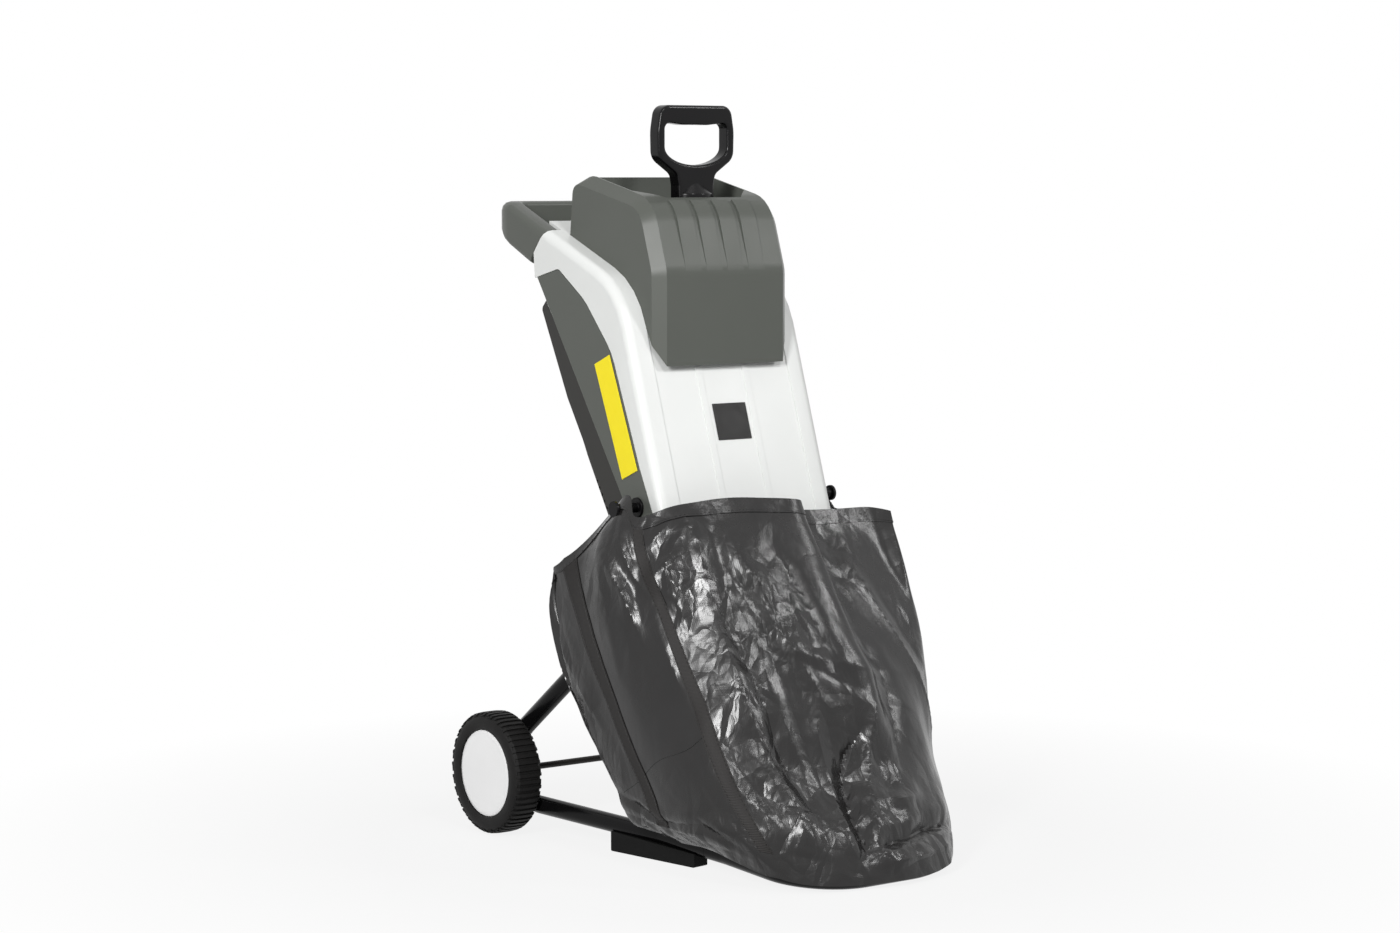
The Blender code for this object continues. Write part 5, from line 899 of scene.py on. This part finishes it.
# Flat facets of the creased film: height in mm, seed, width in m, length over width.
BROAD_FACETS = (8.0, 11, 0.074, 2.8)
MIDDLE_FACETS = (4.8, 23, 0.036, 2.2)
FINE_FACETS = (0.8, 37, 0.016, 1.6)
FOOT_FACETS = (3.6, 5, 0.046, 0.7)
# The film lies calmer between the left ribbons, from a share of the way down on.
CALM_COLUMNS = (14.4, 17.6)
CALM_FROM = 0.3
FOOT_FROM = 0.80
# Folds and creases are low at the rim: their height grows over a length that starts above it.
RIM_ABOVE = 0.006
RIM_GROWTH = 0.028
FOLD_RUN_OUT = 0.04
# How crumpled the film is: everywhere, more in a patch, more at the foot, at most, and on the sole.
CRUMPLE_SHARES = (0.18, 0.75, 0.5)
CRUMPLE_MOST = 1.3
SOLE_CRUMPLE = 0.6


def row_steps(grid):
    """Mean distance from each row to the next."""
    return np.linalg.norm(np.diff(grid, axis=0), axis=2).mean(axis=1)


def bag_lengths(grid):
    """Distance round the bag and down it for each point, in metres, at one scale over the whole sheet."""
    round_steps = np.linalg.norm(np.roll(grid, -1, axis=1) - grid, axis=2)
    mean_step = round_steps[BAG_DOWN // 6:BAG_DOWN * 3 // 4].mean(axis=0)
    u = np.concatenate([[0], np.cumsum(mean_step)[:-1]])
    v = np.concatenate([[0], np.cumsum(row_steps(grid))])
    return np.broadcast_to(u[None, :], grid.shape[:2]), np.broadcast_to(v[:, None], grid.shape[:2])


def crease(u, v, line, height, higher, lower):
    """A fold along a line of (u, v) points: sharp at the line, run out at its widths and ends but for the rim."""
    line = np.array(line)
    spans = np.linalg.norm(np.diff(line, axis=0), axis=1)
    starts = np.concatenate([[0], np.cumsum(spans)])
    nearest = np.full(u.shape, np.inf)
    side = np.zeros_like(u)
    along = np.zeros_like(u)
    for k, span in enumerate(spans):
        step = (line[k + 1] - line[k]) / span
        du, dv = u - line[k][0], v - line[k][1]
        place = np.clip(du * step[0] + dv * step[1], 0, span)
        away = np.hypot(du - place * step[0], dv - place * step[1])
        closer = away < nearest
        nearest = np.where(closer, away, nearest)
        side = np.where(closer, du * step[1] - dv * step[0], side)
        along = np.where(closer, starts[k] + place, along)
    ends = np.clip((starts[-1] - along) / FOLD_RUN_OUT, 0, 1)
    if line[0][1] > 0:
        ends = np.clip(along / FOLD_RUN_OUT, 0, 1) * ends
    return height * ends * np.clip(1 - nearest / np.where(side > 0, higher, lower), 0, 1) ** 1.5


def crumpled_bag():
    """The folded and creased sheet as a grid of points, and how crumpled its film is at each."""
    grid = bag_surface()
    normals = grid_normals(grid)
    u, v = bag_lengths(grid)
    girth = u[0, -1] + (u[0, -1] - u[0, -2])
    deep = v / v[-1:, :1]

    def on_sheet(column, share):
        return np.interp(column / BAG_COLUMNS * BAG_AROUND, np.arange(BAG_AROUND), u[0]), share * v[-1, 0]

    turn = np.arange(BAG_AROUND)[None, :] * BAG_COLUMNS / BAG_AROUND * np.ones_like(v)
    calm_round = np.clip((turn - CALM_COLUMNS[0]) / 0.5, 0, 1) * np.clip((CALM_COLUMNS[1] - turn) / 0.5, 0, 1)
    loose = 1 - 0.5 * calm_round * np.clip((deep - CALM_FROM) / 0.15, 0, 1)
    rim = np.clip((v + RIM_ABOVE) / RIM_GROWTH, 0, 1)
    foot = np.clip((deep - FOOT_FROM) / 0.12, 0, 1)
    push = np.zeros_like(u)
    for line, height, higher, lower in FOLDS:
        push += crease(u, v, [on_sheet(*p) for p in line], height * MM, higher * MM, lower * MM)
    patch = np.zeros_like(u)
    for column, share, reach_u, reach_v, strength in CRUMPLES:
        at_u, at_v = on_sheet(column, share)
        off = (np.abs(u - at_u) + girth / 2) % girth - girth / 2
        patch += strength * np.exp(-(off / (reach_u * MM)) ** 2 - ((v - at_v) / (reach_v * MM)) ** 2)
    patch = np.clip(patch, 0, 1.5)
    for (height, *spread), where in ((BROAD_FACETS, loose),
                                     (MIDDLE_FACETS, loose * (0.35 + 0.65 * np.minimum(patch, 1))),
                                     (FINE_FACETS, loose * (0.15 + patch)), (FOOT_FACETS, foot)):
        push += height * MM * where * random_facets(u, v, girth, *spread)
    sheet = clear_of_tubes(grid + normals * (push * rim)[..., None])
    base, patched, at_foot = CRUMPLE_SHARES
    return sheet, np.clip(base * loose + patched * patch + at_foot * foot, 0, CRUMPLE_MOST)


BAG_CLEAR = TUBE_R + 1.8 * MM


def clear_of_tubes(grid):
    """The sheet's points, moved straight out of the tubes and the room round them."""
    points = grid.reshape(-1, 3)
    for path in TUBES.values():
        best = np.full(len(points), np.inf)
        nearest = np.zeros_like(points)
        for first, second in zip(path, path[1:]):
            start = np.array((first[0], first[1] + AXLE_Y, first[2]))
            step = np.array((second[0], second[1] + AXLE_Y, second[2])) - start
            share = np.clip((points - start) @ step / max(step @ step, 1e-12), 0, 1)
            foot = start + share[:, None] * step
            away = np.linalg.norm(points - foot, axis=1)
            closer = away < best
            best = np.where(closer, away, best)
            nearest = np.where(closer[:, None], foot, nearest)
        scale = np.where(best < BAG_CLEAR, BAG_CLEAR / np.maximum(best, 1e-6), 1)
        points = nearest + (points - nearest) * scale[:, None]
    return points.reshape(grid.shape)


# The sole starts with rows at these distances from the lowest edge, each with its share of the climb over the bar.
SOLE_START = ((2.5 * MM, 0.45), (5.5 * MM, 1), (14 * MM, 1))
SOLE_ROWS = 12
SOLE_TOP = 0.0268
SOLE_MIDDLE = 0.029


def sole_rows(grid):
    """Rows from the bag's lowest edge up inside it, over the front bar and on to the middle."""
    edge = grid[-1]
    centre = edge.mean(axis=0)
    centre[2] = SOLE_MIDDLE
    inward = (centre - edge) * (1, 1, 0)
    inward /= np.linalg.norm(inward, axis=1, keepdims=True)
    top = np.maximum(edge[:, 2], SOLE_TOP)
    rows = []
    for reach, rise in SOLE_START:
        row = edge + inward * reach
        row[:, 2] = edge[:, 2] + (top - edge[:, 2]) * rise
        rows.append(row)
    last = rows[-1]
    inner = SOLE_ROWS - len(SOLE_START)
    for k in range(1, inner + 1):
        share = k / inner
        rows.append(last * (1 - share) + centre * share)
    return clear_of_tubes(np.array(rows))


def bag_piece(grid, crumple, paints):
    """The sheet as a mesh, a grid bent round and closed, with its sole."""
    nothing_selected()
    rows, columns = grid.shape[:2]
    bpy.ops.mesh.primitive_grid_add(x_subdivisions=columns, y_subdivisions=rows - 1 + SOLE_ROWS, size=1)
    bag = bpy.context.object
    bag.name = "sewn_bag"
    flat = np.empty(len(bag.data.vertices) * 3, dtype=np.float32)
    bag.data.vertices.foreach_get("co", flat)
    flat = flat.reshape(-1, 3)
    column = np.rint((flat[:, 0] + 0.5) * columns).astype(int) % columns
    row = np.rint((0.5 - flat[:, 1]) * (rows - 1 + SOLE_ROWS)).astype(int)
    sole = sole_rows(grid)
    places = np.concatenate([grid, sole])[row, column]
    bag.data.vertices.foreach_set("co", places.astype(np.float32).ravel())
    bag.data.update()
    spread = np.concatenate([crumple, np.full(sole.shape[:2], SOLE_CRUMPLE)])[row, column]
    marks = bag.data.attributes.new("crumple", "FLOAT", "POINT")
    marks.data.foreach_set("value", spread.astype(np.float32))
    clean_mesh(MERGE_SHEET)
    smooth(13)
    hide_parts("collection_bag")
    dress(bag, paints["bag_black"], "chassis")
    return bag


# The bag's hem, ribbons and stitches

RIBBONS = {
    "ribbon_left_rear": [(16.95, .00), (16.92, .10), (16.92, .31), (16.82, .50), (16.83, .74), (16.90, .90)],
    "ribbon_left_front": [(15.02, .00), (14.92, .08), (14.52, .29), (14.27, .50), (14.25, .75), (14.30, .92)],
    "ribbon_right_rear": [(4.05, .00), (4.08, .10), (4.08, .31), (4.18, .50), (4.17, .74), (4.10, .90)],
    "ribbon_right_front": [(6.20, .00), (6.25, .08), (6.48, .29), (6.73, .50), (6.75, .75), (6.70, .92)],
}
RIBBON_WIDTH = 0.022
RIBBON_PARTS = 4
COLUMN_WIDTH = 0.060
SEAM_LINE = [(17.70, .795), (16.92, .750), (15.60, .670), (14.33, .590)]
HEM_DEPTH = 0.013
HEM_PARTS = 300
HEM_STITCHES = 520
BAND_LIFT = 0.5 * MM
STITCH_WIDTH = 0.5 * MM
STITCH_RISE = 0.35 * MM
STITCH_SLOPE = 0.5 * MM


def over_bag(sheet, column, share, lift):
    """A point of the sheet, a grid with its normals, lifted off it outwards."""
    grid, normals = sheet
    rows, columns = grid.shape[:2]
    x = (column / BAG_COLUMNS * columns) % columns
    y = min(max(share, 0), 1) * (rows - 1)
    j, i = int(x), min(int(y), rows - 2)
    fx, fy = x - j, y - i
    j2 = (j + 1) % columns
    point = ((grid[i, j] * (1 - fx) + grid[i, j2] * fx) * (1 - fy)
             + (grid[i + 1, j] * (1 - fx) + grid[i + 1, j2] * fx) * fy)
    return point + normals[i, j] * lift


def band_on_bag(name, sheet, lines, finish, thickness):
    """A flat band laid on the bag: lines of (column, share) places, given a thickness."""
    nothing_selected()
    across = len(lines[0])
    bpy.ops.mesh.primitive_grid_add(x_subdivisions=across - 1, y_subdivisions=len(lines) - 1, size=1)
    band = bpy.context.object
    band.name = name
    for k, vertex in enumerate(band.data.vertices):
        row, place = divmod(k, across)
        vertex.co = over_bag(sheet, *lines[row][place], BAND_LIFT)
    band.data.update()
    add_modifier(band, "thickness", "SOLIDIFY", thickness=thickness, offset=0)
    clean_mesh()
    smooth(50)
    dress(band, finish, "chassis")
    return band


def ribbon_rows(line, count):
    """Rows of places along a line on the bag, and to both sides of it."""
    shares = np.linspace(line[0][1], line[-1][1], count)
    middles = np.interp(shares, [p[1] for p in line], [p[0] for p in line])
    reach = RIBBON_WIDTH / 2 / COLUMN_WIDTH
    return [[(middle + reach * (2 * k / RIBBON_PARTS - 1), share) for k in range(RIBBON_PARTS + 1)]
            for share, middle in zip(shares, middles)]


def stitch_row(name, sheet, places, finish, length=3.2 * MM, lift=1.0 * MM):
    """Small raised stitches from each place to the next but one."""
    mesh = bpy.data.meshes.new(name)
    shape = bmesh.new()
    points = [Vector(over_bag(sheet, *place, lift)) for place in places]
    outward = [Vector(over_bag(sheet, *place, lift + 0.01)) - point for place, point in zip(places, points)]
    for here, ahead, out in list(zip(points, points[1:], outward))[::2]:
        along = (ahead - here).normalized()
        cross = along.cross(out).normalized() * STITCH_WIDTH / 2
        rise = out.normalized() * STITCH_RISE
        low = [here - cross, here + cross, here + along * length + cross, here + along * length - cross]
        high = [point + rise for point in (here + along * STITCH_SLOPE, here + along * (length - STITCH_SLOPE))]
        corners = [shape.verts.new(point) for point in low + high]
        for face in ((0, 1, 4), (1, 2, 5, 4), (2, 3, 5), (3, 0, 4, 5), (3, 2, 1, 0)):
            shape.faces.new([corners[k] for k in face])
    bmesh.ops.recalc_face_normals(shape, faces=shape.faces)
    shape.to_mesh(mesh)
    shape.free()
    stitches = bpy.data.objects.new(name, mesh)
    bpy.context.scene.collection.objects.link(stitches)
    dress(stitches, finish, "chassis")
    return stitches


def bag_trim(grid):
    """Hem, ribbons, cross seam and their stitches."""
    sheet = (grid, grid_normals(grid))
    web = ribbon_web()
    thread = sewing_thread()
    doubled = bag_film("doubled_film", evenly=DOUBLED_CRUMPLE)
    depth = float(row_steps(grid).sum())
    hem = [[(BAG_COLUMNS * k / HEM_PARTS, HEM_DEPTH / depth * j / 3) for j in range(4)]
           for k in range(HEM_PARTS + 1)]
    trim = [band_on_bag("rim_hem", sheet, hem, doubled, 1.1 * MM)]
    line = [(BAG_COLUMNS * k / HEM_STITCHES, HEM_DEPTH * 0.86 / depth) for k in range(HEM_STITCHES)]
    trim.append(stitch_row("hem_stitches", sheet, line, thread, length=2.2 * MM, lift=1.15 * MM))
    for name, line in RIBBONS.items():
        trim.append(band_on_bag(name, sheet, ribbon_rows(line, 70), web, 0.7 * MM))
        fine = ribbon_rows(line, 150)
        for side, share in (("near", 0.10), ("far", 0.90)):
            places = [(row[0][0] + (row[-1][0] - row[0][0]) * share, row[0][1]) for row in fine]
            trim.append(stitch_row(f"{name}_stitches_{side}", sheet, places, thread))
    columns = np.linspace(SEAM_LINE[-1][0], SEAM_LINE[0][0], 120)
    shares = np.interp(columns, [p[0] for p in SEAM_LINE[::-1]], [p[1] for p in SEAM_LINE[::-1]])
    seam = list(zip(columns, shares))
    trim.append(stitch_row("cross_seam_stitches", sheet, seam, thread, length=1.8 * MM, lift=0.5 * MM))
    return trim


# The finished scene

# Nodes shown by a copy in their own finish, and the width in mm that rounds its edges.
ROUNDED = {
    "front_shell": 1.2, "transport_handle": 1.4, "side_panel_left": 0.6, "side_panel_right": 0.6,
    "plunger_ram": 1.0, "foot_left": 0.8, "foot_right": 0.8, "switch_box": 0.4, "switch_rocker": 0.4,
    "reset_button": 0.5, "lock_knob": 1.2, "mains_inlet": 0.4, "bag_hook_left": 0.6, "bag_hook_right": 0.6,
    "base_plate": 0.8, "disc_housing": 0.8, "wheel_hub_left": 0.5, "wheel_hub_right": 0.5, "hub_cap_left": 0.5,
    "hub_cap_right": 0.5, "name_plate": 0.25, "label_strip": 0.25,
}

place_camera()
set_stage()
for name, softbox in SOFTBOXES.items():
    add_softbox(name, *softbox)
paints = make_paints()
for name, node in NODES.items():
    paint(node, paints[SLOT_OF[name]])
plunger_grip(moulded("glossy_black"))
covers = moulded("cover_plastic")
finished_copy("rear_cover", 1.5 * MM, covers)
finished_copy("motor_cover", 0.8 * MM, covers)
finished_copy("axle", 0.4 * MM, dull_black_steel())
finished_copy("hopper_hood", 1.4 * MM, reshape=run_out_ribs)
for node, width in ROUNDED.items():
    finished_copy(node, width * MM)
frame_tubes(paints)
for side in (-1, 1):
    ribbed_tyre(side, paints)
bag_grid, bag_crumple = crumpled_bag()
bag = bag_piece(bag_grid, bag_crumple, paints)
bag_bands = bag_trim(bag_grid)

bpy.context.scene.view_settings.view_transform = "Standard"
